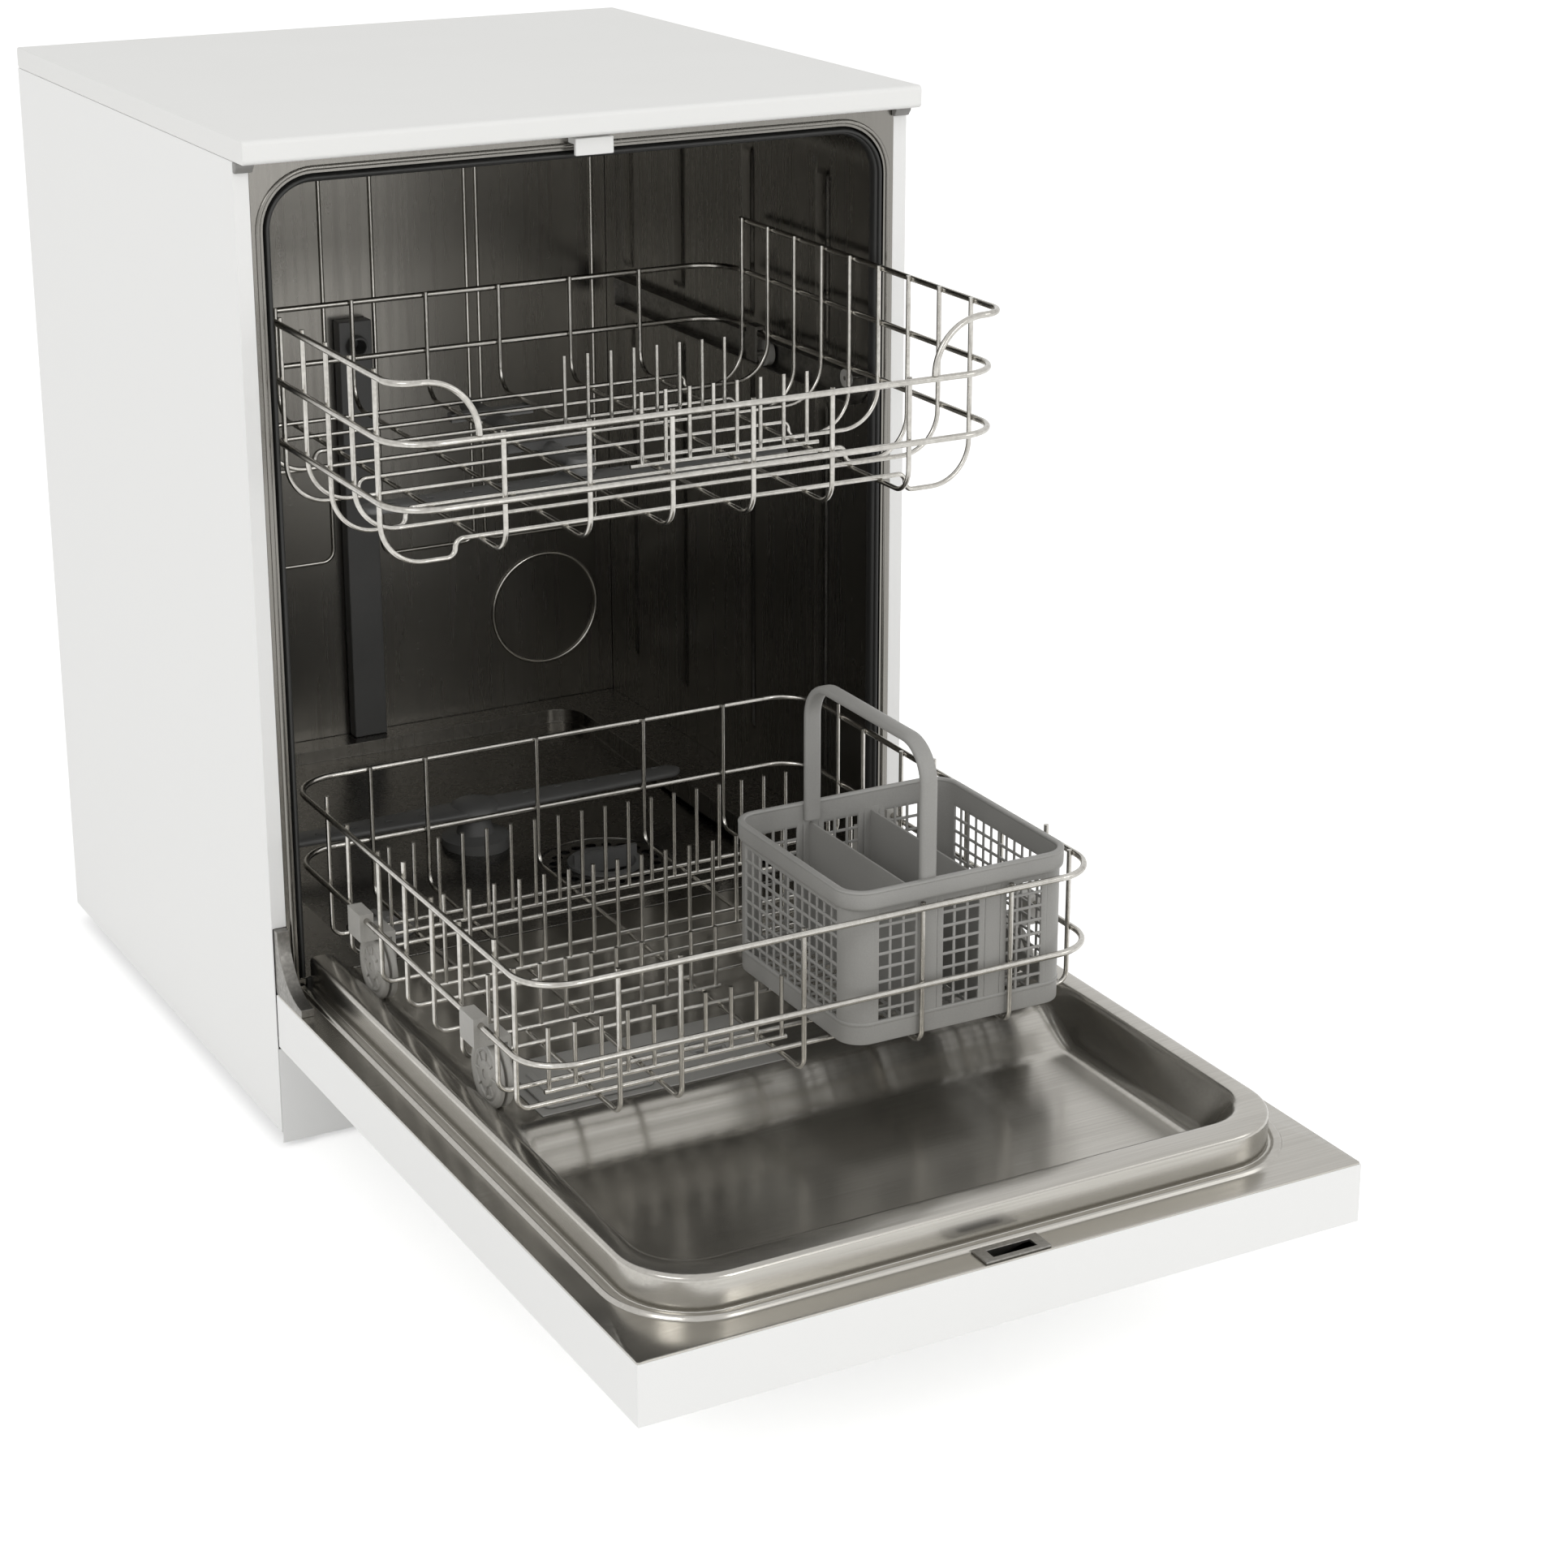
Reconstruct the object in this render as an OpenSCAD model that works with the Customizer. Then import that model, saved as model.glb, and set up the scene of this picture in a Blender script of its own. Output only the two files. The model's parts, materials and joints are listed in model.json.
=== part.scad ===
/* [Cabinet] */
// Width of the cabinet
cab_w = 598; // [580:1:640]
// Depth of the cabinet behind its front plane
cab_d = 570; // [560:1:640]
// Height of the worktop's underside above the floor
cab_h = 831; // [826:1:870]
// Thickness of the painted and galvanised sheet
sheet = 1.2; // [0.8:0.1:2]
// Thickness of the worktop
worktop_t = 19; // [12:1:40]
// How far the worktop stands out over the door
worktop_front = 25; // [0:1:45]
// Radius of the worktop's edges
worktop_edge_r = 4; // [1:0.5:6]
// Width of the white strip that each side panel turns round the front
strip_w = 13; // [8:1:20]
// Height at which that strip ends above the hinge
strip_end = 198; // [180:1:230]
// Top of the kick plate
kick_top = 90; // [70:1:91]
// Height of the levelling feet below the base tray
foot_gap = 14; // [10:1:30]
// Radius of a foot's pad
foot_r = 18; // [12:1:25]

/* [Tub] */
// Gap between the cabinet's outside and the tub's inside, each side
tub_side = 23; // [21:1:35]
// Gap between the tub's ceiling and the worktop's underside
tub_head = 15; // [14:1:60]
// Depth at which the tub's back wall stands
tub_back_y = 544; // [535:1:550]
// Radius of the tub's upper corners
tub_r = 42; // [30:1:60]
// Height of the ledges that the lower rack rolls on
floor_z = 150; // [146:1:156]
// Width of each ledge
ledge_w = 61; // [50:1:64]
// How far the raised lines of the embossing stand out
emboss = 2; // [1:0.5:3]
// Width of the door gasket
gasket_w = 5.5; // [4:0.5:6]

/* [Door] */
// Length of the door from the hinge line to its free edge
door_l = 673; // [668:1:680]
// Thickness of the door's painted shell
door_t = 47; // [42:1:50]
// How far the liner's rim stands over the flange
rim_h = 27; // [22:1:30]
// Width of the flat top of that rim
rim_w = 18; // [14:1:22]
// Width of the flange outside the rim
flange_w = 30; // [26:1:34]
// Radius of the rim's outer corners
rim_r = 60; // [45:1:75]
// Depth of the front pan below the level that the wheels roll on
pan_drop = 22; // [10:1:26]
// Radius of the bead rolled into the flange round the rim
bead_r = 3; // [2:0.5:4]

/* [Wires] */
// Radius of the rail wires
rail_r = 2.6; // [2:0.1:3]
// Radius of the thinner wires
wire_r = 2; // [1.6:0.1:2.4]
// Radius of a tine
tine_r = 1.75; // [1.4:0.05:2.2]
// How deep two crossing wires sink together at their weld
weld = 0.4; // [0.2:0.1:0.6]
// Radius of the racks' corners
rack_r = 38; // [30:1:50]

/* [Upper rack] */
// Gap between the tub's side and the rail wires' centre lines
up_gap = 13.6; // [13:0.1:18]
// Length from front rail to back rail
up_l = 490; // [460:1:495]
// How far the rack is pulled out
up_out = 221; // [180:1:230]
// Height of its lowest rail
up_low = 601; // [598:0.5:606]
// Height from the lowest rail to the middle one
up_step = 50; // [40:1:60]
// Height from the middle rail to the side rail
up_side_step = 47; // [38:1:60]
// Depth of the flat floor wires below the lowest rail
up_drop = 39; // [36:1:42]
// How far the dipped floor wires hang below the flat ones
up_dip = 14; // [10:1:16]
// Height of the tines
up_tine_h = 62; // [40:1:75]

/* [Lower rack] */
// Gap between the tub's side and the rail wires' centre lines
lo_gap = 30; // [29:1:34]
// Length from front rail to back rail
lo_l = 490; // [470:1:494]
// How far the rack is pulled out
lo_out = 402; // [380:1:410]
// Height of its lower rail
lo_low = 224; // [220:1:230]
// Height of its top rail
lo_top = 288; // [270:1:300]
// Height of the floor wires that cross from side to side
lo_floor = 177; // [176:0.5:180]
// Height of the tines for large plates
lo_tine_h = 78; // [60:1:90]
// Height of the tines for small plates
small_tine_h = 52; // [40:1:70]
// Distance between neighbouring tines
tine_pitch = 22; // [18:1:30]
// Radius of a wheel
wheel_r = 27; // [24:0.5:28]
// Width of a wheel
wheel_w = 14; // [10:0.5:15]

/* [Cutlery basket] */
// Outer width of the basket
basket_w = 198; // [180:1:198]
// Outer depth of the basket
basket_d = 190; // [160:1:196]
// Height of the basket without its handle
basket_h = 128; // [112:1:132]
// Wall thickness of the basket
basket_wall = 2.4; // [2:0.1:3]
// Side of one square hole of the lattice
cell = 9; // [7:0.5:12]
// Width of the bar between two holes
bar = 2.6; // [2:0.1:4]
// Height of the handle's top above the rim
handle_h = 108; // [80:1:110]

/* [Machinery] */
// Radius of the thread on the water inlet
inlet_r = 13.2; // [12:0.1:14]
// How far the water inlet stands out of the back
inlet_l = 14; // [10:1:20]
// Radius of the drain spigot
drain_r = 10.5; // [9:0.5:12]
// Length of the lower spray arm from its hub
arm_l = 214; // [180:1:218]
// Length of the upper spray arm from its hub
up_arm_l = 196; // [160:1:205]
// Radius of the filter cylinder
filter_r = 32; // [26:1:34]

/* [Hidden] */

function half(v) = v / 2;

white = [0.95, 0.95, 0.94];
steel = [0.72, 0.71, 0.68];
dark_steel = [0.45, 0.44, 0.42];
grey = [0.52, 0.52, 0.51];
black = [0.12, 0.12, 0.12];

wire_fn = 24;
run_gap = 0.3;
weld_gap = 0.05;

// The origin lies on the floor under the centre of the whole outline, so the front plane is here
front_y = half(door_l - cab_d - inlet_l);

// Cabinet
cab_x = half(cab_w);
tray_x = cab_x - sheet;
tray_top = 92;
tray_floor = 4;
tray_wall = 3;
foot_x = cab_x - 37;
foot_ys = [42, cab_d - 40];
stem_r = 4;
stem_top = 44;
boss_r = 10;
strip_x = cab_x - strip_w;
cap_w = 15;
cap_h = 9;
cap_out = 8;
back_bead_w = 24;
collar = 2;
inlet_x = 74 - cab_x;
inlet_z = 50;
drain_x = inlet_x + 60;
drain_z = 70;

// Tub
tub_x = cab_x - tub_side;
tub_top = cab_h - tub_head;
press_in = 14;
press_x = half(tub_x) - 8;
press_w = 4;
press_mid = 24;
open_x = tub_x + 1;
open_top = tub_top + 1;
collar_l = 14;
floor_under = floor_z - sheet;
frame_bead_r = 2;
frame_bead_off = 4;
dish_y0 = 30;
dish_y1 = tub_back_y - 30;
dish_r = 30;
sump_x = 90;
sump_y = 180;
sump_r = 62;
sump_z = floor_z - 32;
sump_bottom = 50;
dish_far = 470;
dish_rise = 24;
hub_y = half(tub_back_y);
hub_r = 31.7;
arm_z = floor_z + 4;
salt_x = -160;
salt_y = 110;
salt_r = 30;
softener_top = 112;
duct_w = 34;
duct_t = 15;
duct_nozzle = 10;
pump_x = -40;
pump_y = sump_y + 30;
pump_z = 68;
drain_pump_y = 70;
drain_pump_z = 76;

// Door, lying open
shell_x = cab_x - 1;
shell_top = floor_z - 10;
shell_bottom = shell_top - door_t;
shell_lip = 12;
flange_z = shell_top + sheet;
liner_end = -3;
rim_x = cab_x - flange_w - 1;
rim_y = -door_l + 35;
rim_front_w = 28;
rim_top = flange_z + rim_h;
pan_z = floor_z - pan_drop;
pan_wall = 18;
pan_front_slope = 34;
step_y = -334;
step_run = 54;
hinge_y = 6;
hinge_z = floor_z;
hinge_pin_r = 4;
hinge_foot = 58;
hinge_curve = 50;
fascia_x = cab_x - 9;
fascia_y0 = -door_l + 5;
fascia_y1 = -door_l + 108;
fascia_t = 3;
control_y = -door_l + 58;
button_x = cab_x - 49;
button_r = 8;
knob_x = cab_x - 109;
knob_r = 18;
grip_x = 85;
grip_y0 = -door_l + 42;
grip_y1 = -door_l + 74;
grip_depth = 26;
latch_x = 24;
latch_y0 = -door_l + 3;
latch_y1 = -door_l + 21;
disp_x0 = -205;
disp_x1 = 0;
disp_y0 = -328;
disp_y1 = -238;
disp_lip = 3;
disp_top = floor_z + 1.2;
lid_w = 96;
lid_t = 2.6;
rinse_x = -44;
rinse_y = half(disp_y0 + disp_y1);
rinse_r = 15;

// Upper rack
up_mid = up_low + up_step;
up_high = up_mid + up_side_step;
up_floor = up_low - up_drop;
up_x = tub_x - up_gap;
up_y0 = -up_out;
up_y1 = up_y0 + up_l;
weld_off = rail_r + wire_r - weld;
cross_off = 2 * wire_r - weld;
up_in = up_x - weld_off;
up_side_arc = 35;
up_dip_z = up_floor - up_dip;
up_rod_z = up_floor - cross_off;
up_hook_r = 20;
up_rods = [-175, -105, -35, 35, 105, 175];
up_stations = [for (i = [0:8]) up_y0 + rack_r + 10 + i * (up_l - 2 * rack_r - 20) / 8];
up_step_x = up_x - 71.4;
up_return_r = 22;
wire_over = 3;
rail_z0 = up_low - 35;
rail_h = 28;
rail_t = 1.5;
rail_depth = 11.5;
rail_y0 = 22;
rail_y1 = 505;
front_roller_y = 36;
front_roller_r = 8;
front_roller_z = up_low - rail_r - run_gap - front_roller_r;
roller_pin_r = 2;
rear_roller_y = half(up_stations[7] + up_stations[8]);
rear_roller_r = half(rail_h) - rail_t - run_gap;
rear_roller_z = rail_z0 + half(rail_h);
up_hub_y = half(up_y0 + up_y1);
up_pipe_r = 7;
up_pipe_z = up_rod_z - wire_r - up_pipe_r - 0.5;
up_arm_z = up_pipe_z - up_pipe_r - 11.4;
arm_t = 10;

// Lower rack
lo_x = tub_x - lo_gap;
lo_y0 = -lo_out;
lo_y1 = lo_y0 + lo_l;
lo_in = lo_x - weld_off;
lo_side_arc = 10;
lo_rod_z = lo_floor - cross_off;
lo_hook_r = 11;
lo_rods = [-175, -124, -20, 84, 164];
wheel_ys = [lo_y0 + 108, lo_y0 + 336];
wheel_clear = wheel_r + 6;
wheel_x0 = lo_in - wire_r - 0.8 - wheel_w;
wheel_z = floor_z + run_gap + wheel_r;
axle_r = 4;
run_fit = 0.08;
lo_mid0 = wheel_ys[0] + wheel_clear;
lo_mid1 = wheel_ys[1] - wheel_clear;
lo_stations = concat([wheel_ys[0] - wheel_clear - 34, wheel_ys[0] - wheel_clear],
    [for (i = [0:3]) lo_mid0 + i * (lo_mid1 - lo_mid0) / 3],
    [wheel_ys[1] + wheel_clear, wheel_ys[1] + wheel_clear + 44]);
tine_end = lo_x - 34;
lo_tine_z = lo_rod_z + 2 * wire_r + weld_gap;
plate_rows = [half(lo_stations[4] + lo_stations[5]), half(lo_stations[6] + lo_stations[7])];
small_rows = [half(lo_stations[0] + lo_stations[1]), half(lo_stations[2] + lo_stations[3])];

// Cutlery basket
basket_x0 = lo_x - 224;
basket_y0 = lo_y0 + weld_off + wire_r + 1.6;
basket_z0 = lo_floor + wire_r + 1;
basket_x1 = basket_x0 + basket_w;
basket_y1 = basket_y0 + basket_d;
basket_top = basket_z0 + basket_h;
basket_r = 20;
rim_band = 16;
rim_out = 3;
handle_w = 14;
basket_bay = (basket_w - 2 * basket_r - 2 * handle_w) / 3;
handle_x = basket_x0 + basket_r + basket_bay;
handle_t = 7;
handle_r = 34;

module in_frame() translate([0, front_y, 0]) children();
module box(a, b) translate(a) cube(b - a);
module both_sides() {
    children();
    mirror([1, 0, 0]) children();
}
module rod_x(x0, x1, y, z, r) translate([x0, y, z]) rotate([0, 90, 0]) cylinder(h = x1 - x0, r = r, $fn = wire_fn);
module rod_y(y0, y1, x, z, r) translate([x, y0, z]) rotate([-90, 0, 0]) cylinder(h = y1 - y0, r = r, $fn = wire_fn);
module rod_z(z0, z1, x, y, r) translate([x, y, z0]) cylinder(h = z1 - z0, r = r, $fn = 2 * wire_fn);

// A quarter of a bent wire, from the given angle on, in the plane that its name gives
module quarter(bend_r, r) rotate_extrude(angle = 90, $fn = 64) translate([bend_r, 0]) circle(r, $fn = wire_fn);
module bend_xy(c, bend_r, r, a) translate(c) rotate([0, 0, a]) quarter(bend_r, r);
module bend_xz(c, bend_r, r, a) translate(c) rotate([90, 0, 0]) rotate([0, 0, a]) quarter(bend_r, r);
module bend_yz(c, bend_r, r, a) translate(c) rotate([90, 0, 90]) rotate([0, 0, a]) quarter(bend_r, r);

// Outlines swept along one axis: along_y takes x and z, along_x takes y and z
module along_y(y0, y1) translate([0, y1, 0]) rotate([90, 0, 0]) linear_extrude(y1 - y0) children();
module along_x(x0, x1) translate([x0, 0, 0]) rotate([90, 0, 90]) linear_extrude(x1 - x0) children();
module along_z(z0, z1) translate([0, 0, z0]) linear_extrude(z1 - z0) children();

// A rectangle from corner a to corner b with round corners
module rounded(a, b, r) {
    translate([a[0] + r, a[1]]) square([b[0] - a[0] - 2 * r, b[1] - a[1]]);
    translate([a[0], a[1] + r]) square([b[0] - a[0], b[1] - a[1] - 2 * r]);
    for (x = [a[0] + r, b[0] - r], y = [a[1] + r, b[1] - r]) translate([x, y]) circle(r, $fn = 48);
}
// The tub's section: straight sides and round upper corners
module arch(x, z0, z1, r) {
    translate([-x, z0]) square([2 * x, z1 - r - z0]);
    translate([-x + r, z0]) square([2 * (x - r), z1 - z0]);
    for (s = [-1, 1]) translate([s * (x - r), z1 - r]) circle(r, $fn = 64);
}

module base_tray() {
    color(grey) in_frame() difference() {
        union() {
            difference() {
                box([-tray_x, sheet, foot_gap], [tray_x, cab_d - sheet, tray_top]);
                box([-tray_x + tray_wall, sheet + tray_wall, foot_gap + tray_floor],
                    [tray_x - tray_wall, cab_d - sheet - tray_wall, tray_top + 1]);
            }
            both_sides() for (y = foot_ys) rod_z(foot_gap, stem_top + 6, foot_x, y, boss_r);
        }
        both_sides() for (y = foot_ys) rod_z(foot_gap - 1, stem_top + 1, foot_x, y, stem_r + run_gap);
        rod_y(cab_d - 20, cab_d, inlet_x, inlet_z, inlet_r + collar + run_gap);
        rod_y(cab_d - 20, cab_d, drain_x, drain_z, drain_r + collar + run_gap);
    }
}

module levelling_feet() {
    color(black) in_frame() both_sides() for (y = foot_ys) translate([foot_x, y, 0])
        rotate_extrude($fn = 48) polygon([[0, 0], [foot_r, 0], [foot_r, 5], [foot_r - 5, 8],
            [stem_r + 3, 9], [stem_r, 11], [stem_r, stem_top], [0, stem_top]]);
}

module side_panels() {
    color(white) in_frame() both_sides() {
        box([tray_x, 0, foot_gap], [cab_x, cab_d, cab_h]);
        box([strip_x, 0, strip_end], [tray_x, sheet, cab_h]);
        box([strip_x, sheet, strip_end], [strip_x + sheet, 12, cab_h]);
        box([tray_x - 14, cab_d - sheet, tray_top], [tray_x, cab_d, cab_h]);
    }
}

module worktop() {
    color(white) in_frame() along_x(-cab_x, cab_x)
        rounded([-worktop_front, cab_h], [cab_d, cab_h + worktop_t], worktop_edge_r);
}

module back_panel() {
    x = tray_x - 14;
    color(steel) in_frame() {
        box([-x, cab_d - sheet, tray_top], [x, cab_d, cab_h]);
        for (i = [-1:1]) translate([i * (tray_x - 127.8), 0, 0])
            box([-half(back_bead_w), cab_d - 6, tray_top + 68], [half(back_bead_w), cab_d - sheet, cab_h - 51]);
    }
}

module kick_plate() {
    color(white) in_frame() {
        box([-tray_x, 0, 4], [tray_x, sheet, kick_top]);
        box([-tray_x + 30, sheet, 4], [tray_x - 30, 16, 4 + sheet]);
    }
}

module corner_caps() {
    color(grey) in_frame() both_sides() along_x(cab_x - cap_w, cab_x)
        polygon([[0, cab_h], [-cap_out, cab_h], [-cap_out, cab_h - 4], [-4, cab_h - cap_h], [0, cab_h - cap_h]]);
}

module latch_striker() {
    z = open_top + frame_bead_off + frame_bead_r + run_gap;
    color(white) in_frame() along_x(-17, 17)
        polygon([[0, z], [0, z + 5], [-15, z + 5], [-15, z - 9], [-11, z - 9], [-11, z]]);
}

// Raised lines of the pressed sheet: a round-cornered outline, line by line
module pressed_frame(a, b, r, w) difference() {
    rounded(a, b, r);
    rounded(a + [w, w], b - [w, w], r - w);
}

module tub_wrapper() {
    rib_w = 26;
    color(dark_steel) in_frame() {
        along_y(collar_l, tub_back_y) difference() {
            arch(tub_x + sheet, floor_under, tub_top + sheet, tub_r + sheet);
            arch(tub_x, floor_under - 1, tub_top, tub_r);
        }
        both_sides() for (y = [90, 230, 370, tub_back_y - 64],
                z = [[floor_z + 50, rail_z0 - 10], [rail_z0 + rail_h + 10, tub_top - 51]])
            box([tub_x - emboss, y, z[0]], [tub_x + half(sheet), y + rib_w, z[1]]);
    }
}

module tub_back() {
    color(dark_steel) in_frame() {
        along_y(tub_back_y, tub_back_y + sheet) arch(tub_x + sheet, floor_under, tub_top + sheet, tub_r + sheet);
        along_y(tub_back_y - emboss, tub_back_y + half(sheet)) for (s = [0, 1]) mirror([s, 0]) {
            pressed_frame([press_mid, floor_z + 180], [press_x - press_w, tub_top - 81], 12, press_w);
            pressed_frame([press_x + press_w, floor_z + 180], [tub_x - press_in, tub_top - 81], 12, press_w);
            pressed_frame([press_mid, tub_top - 68], [tub_x - 54, tub_top - 16], 10, press_w);
            translate([tub_x - 76, floor_z + 100]) difference() {
                circle(60, $fn = 64);
                circle(55, $fn = 64);
            }
        }
    }
}

// The dish falls as a cone towards the sump and ends at the walls under the ledges
module tub_floor() {
    dish_x = tub_x - ledge_w;
    rise_far = sump_z + dish_rise;
    color(dark_steel) in_frame() difference() {
        union() {
            along_z(floor_under, floor_z) difference() {
                translate([-tub_x, 0]) square([2 * tub_x, tub_back_y]);
                rounded([-dish_x, dish_y0], [dish_x, dish_y1], dish_r);
            }
            along_z(sump_z + 11, floor_under) difference() {
                rounded([-dish_x - sheet, dish_y0 - sheet], [dish_x + sheet, dish_y1 + sheet], dish_r + sheet);
                rounded([-dish_x, dish_y0], [dish_x, dish_y1], dish_r);
            }
            intersection() {
                translate([sump_x, sump_y, 0]) rotate_extrude($fn = 96) polygon([[sump_r, sump_z],
                    [dish_far, rise_far], [dish_far, rise_far + sheet], [sump_r, sump_z + sheet]]);
                along_z(sump_z - 5, floor_under)
                    rounded([-dish_x - sheet, dish_y0 - sheet], [dish_x + sheet, dish_y1 + sheet], dish_r + sheet);
            }
        }
        rod_z(sump_z - 5, floor_z + 5, 0, hub_y, hub_r + run_gap);
        rod_z(sump_z - 5, floor_z + 5, salt_x, salt_y, salt_r + run_gap);
    }
}

module front_frame() {
    x = open_x + frame_bead_off;
    z = open_top + frame_bead_off;
    r = tub_r + frame_bead_off + 1;
    color(steel) in_frame() {
        along_y(0, sheet) difference() {
            translate([-strip_x, tray_top]) square([2 * strip_x, cab_h - tray_top]);
            arch(open_x, floor_under, open_top, tub_r + 1);
        }
        along_y(sheet, collar_l) difference() {
            arch(open_x + sheet, floor_z, open_top + sheet, tub_r + 1 + sheet);
            arch(open_x, floor_z - 1, open_top, tub_r + 1);
        }
        both_sides() {
            rod_z(floor_z, z - r, x, 0, frame_bead_r);
            bend_xz([x - r, 0, z - r], r, frame_bead_r, 0);
        }
        rod_x(-x + r, x - r, 0, z, frame_bead_r);
    }
}

module door_gasket() {
    color(black) in_frame() {
        along_y(sheet + 0.2, collar_l - 1) difference() {
            arch(open_x, floor_z + 2, open_top, tub_r + 1);
            arch(open_x - gasket_w, floor_z + 1, open_top - gasket_w, tub_r + 1 - gasket_w);
        }
        along_y(-1, sheet + 0.2) difference() {
            arch(open_x - 1, floor_z + 2, open_top - 1, tub_r);
            arch(open_x - gasket_w + 1.5, floor_z + 1, open_top - gasket_w + 1.5, tub_r + 2.5 - gasket_w);
        }
    }
}

module threshold_seal() {
    color(black) in_frame() along_x(-open_x + 6, open_x - 6)
        polygon([[0, shell_top + run_gap], [0, floor_under], [-1, floor_z - 0.5],
            [liner_end + run_gap, floor_z - 1], [liner_end + run_gap, shell_top + run_gap]]);
}

// A channel open towards the rack, with the lower front corner cut off
module rack_rails() {
    x0 = tub_x - rail_depth;
    color(steel) in_frame() both_sides() difference() {
        union() {
            along_y(rail_y0, rail_y1) difference() {
                translate([x0, rail_z0]) square([rail_depth, rail_h]);
                translate([x0 - 1, rail_z0 + rail_t]) square([rail_depth + 1 - rail_t, rail_h - 2 * rail_t]);
            }
            rod_x(x0 - 4, tub_x, front_roller_y, front_roller_z, roller_pin_r);
            box([x0, rail_y1 - 3, rail_z0 + rail_t], [tub_x, rail_y1, rail_z0 + rail_h - rail_t]);
        }
        along_x(x0 - 1, tub_x + 1)
            polygon([[rail_y0 - 1, rail_z0 - 1], [rail_y0 + 13, rail_z0 - 1], [rail_y0 - 1, rail_z0 + 13]]);
    }
}

module roller(x0, x1, y, z, r, bore) difference() {
    union() {
        rod_x(x0, x1, y, z, r);
    }
    rod_x(x0 - 1, x1 + 1, y, z, bore);
}

module front_rollers() {
    x = tub_x - rail_depth - run_gap;
    color(grey) in_frame() both_sides()
        roller(x - 3.6, x, front_roller_y, front_roller_z, front_roller_r, roller_pin_r + run_fit);
}

// Machinery in the base and the tub
module sump() {
    rim = sump_z - 0.2;
    color(grey) in_frame() difference() {
        union() {
            rod_z(sump_bottom, rim, sump_x, sump_y, sump_r + 8);
            rod_x(pump_x + 40, sump_x, pump_y, pump_z, 14);
            rod_y(drain_pump_y + 20, sump_y, sump_x, drain_pump_z, 12);
        }
        rod_z(sump_bottom + 4, rim + 1, sump_x, sump_y, sump_r);
        rod_x(pump_x + 39, sump_x, pump_y, pump_z, 11);
        rod_y(drain_pump_y + 19, sump_y, sump_x, drain_pump_z, 9);
    }
}

module filter_plate() {
    holes = 20;
    color(steel) in_frame() difference() {
        rod_z(sump_z - 2, sump_z, sump_x, sump_y, sump_r - run_gap);
        rod_z(sump_z - 3, sump_z + 1, sump_x, sump_y, filter_r + run_gap);
        for (i = [0:holes - 1]) translate([sump_x, sump_y, 0]) rotate([0, 0, (i + 0.5) * 360 / holes])
            rod_z(sump_z - 3, sump_z + 1, half(sump_r + filter_r), 0, 5);
    }
}

// The cup that turns a quarter turn to lock, with a grip across its mouth
module filter_cylinder() {
    color(grey) in_frame() difference() {
        union() {
            rod_z(sump_bottom + 6, sump_z + 1, sump_x, sump_y, filter_r);
            rod_z(sump_z + 0.3, sump_z + 3, sump_x, sump_y, filter_r + 3);
            box([sump_x - filter_r, sump_y - 2, sump_z], [sump_x + filter_r, sump_y + 2, sump_z + 14]);
        }
        difference() {
            rod_z(sump_bottom + 9, sump_z + 4, sump_x, sump_y, filter_r - 3);
            box([sump_x - filter_r, sump_y - 2, sump_z - 6], [sump_x + filter_r, sump_y + 2, sump_z + 14]);
        }
    }
}

module salt_cap() {
    color(grey) in_frame() translate([salt_x, salt_y, 0]) {
        rotate_extrude($fn = 64) polygon([[0, softener_top + run_gap], [24, softener_top + run_gap],
            [24, sump_z], [salt_r, sump_z], [salt_r, sump_z + 14], [salt_r - 3, sump_z + 17], [0, sump_z + 17]]);
        for (a = [0, 90]) rotate([0, 0, a]) box([-20, -3, sump_z + 16], [20, 3, sump_z + 23]);
    }
}

module spray_hub() {
    color(grey) in_frame() difference() {
        translate([0, hub_y, 0]) rotate_extrude($fn = 64) polygon([[0, 70], [13, 70], [13, sump_z - 4],
            [hub_r, sump_z - 4], [hub_r, sump_z + 14], [18, sump_z + 18], [12, arm_z - run_gap],
            [9, arm_z - run_gap], [9, arm_z + arm_t - run_gap], [0, arm_z + arm_t - run_gap]]);
        rod_z(66, arm_z + arm_t - 3, 0, hub_y, 6);
    }
}

// A two-bladed arm: blades that narrow to round tips, with jets along each blade
module spray_arm(l, z, bore, cap) difference() {
    union() {
        along_z(z + 1, z + arm_t - 1) for (a = [0, 180]) rotate(a) {
            polygon([[0, -19], [l - 12, -12], [l - 12, 12], [0, 19]]);
            translate([l - 12, 0]) circle(12, $fn = 48);
        }
        rod_z(z, z + arm_t + cap, 0, 0, 24);
    }
    rod_z(z - 1, z + arm_t, 0, 0, bore);
    for (s = [-1, 1], i = [0:4]) rod_z(z - 1, z + arm_t + 1, s * (l - 24 - i * 34), s * 4, 2);
}

module lower_spray_arm() {
    color(grey) in_frame() translate([0, hub_y, 0]) spray_arm(arm_l, arm_z, 9 + run_fit, 3);
}

module feed_duct() {
    y0 = tub_back_y - duct_t;
    color(grey) in_frame() difference() {
        union() {
            box([-half(duct_w), y0, floor_z], [half(duct_w), tub_back_y, up_pipe_z + 24]);
            rod_y(y0 - duct_nozzle, y0, 0, up_pipe_z, up_pipe_r + 3);
        }
        rod_y(y0 - duct_nozzle - 1, y0 + duct_t - 3, 0, up_pipe_z, up_pipe_r);
    }
}

module wash_pump() {
    color(grey) in_frame() {
        translate([pump_x, pump_y, pump_z]) rotate([0, 90, 0]) rotate_extrude($fn = 64)
            polygon([[0, -100], [34, -100], [38, -94], [38, -34], [34, -30], [34, -24], [46, -18], [46, 30],
                [40, 40], [16, 40], [0, 40]]);
        box([pump_x - 90, pump_y - 20, foot_gap + tray_floor], [pump_x - 50, pump_y + 20, pump_z - 20]);
    }
}

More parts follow.
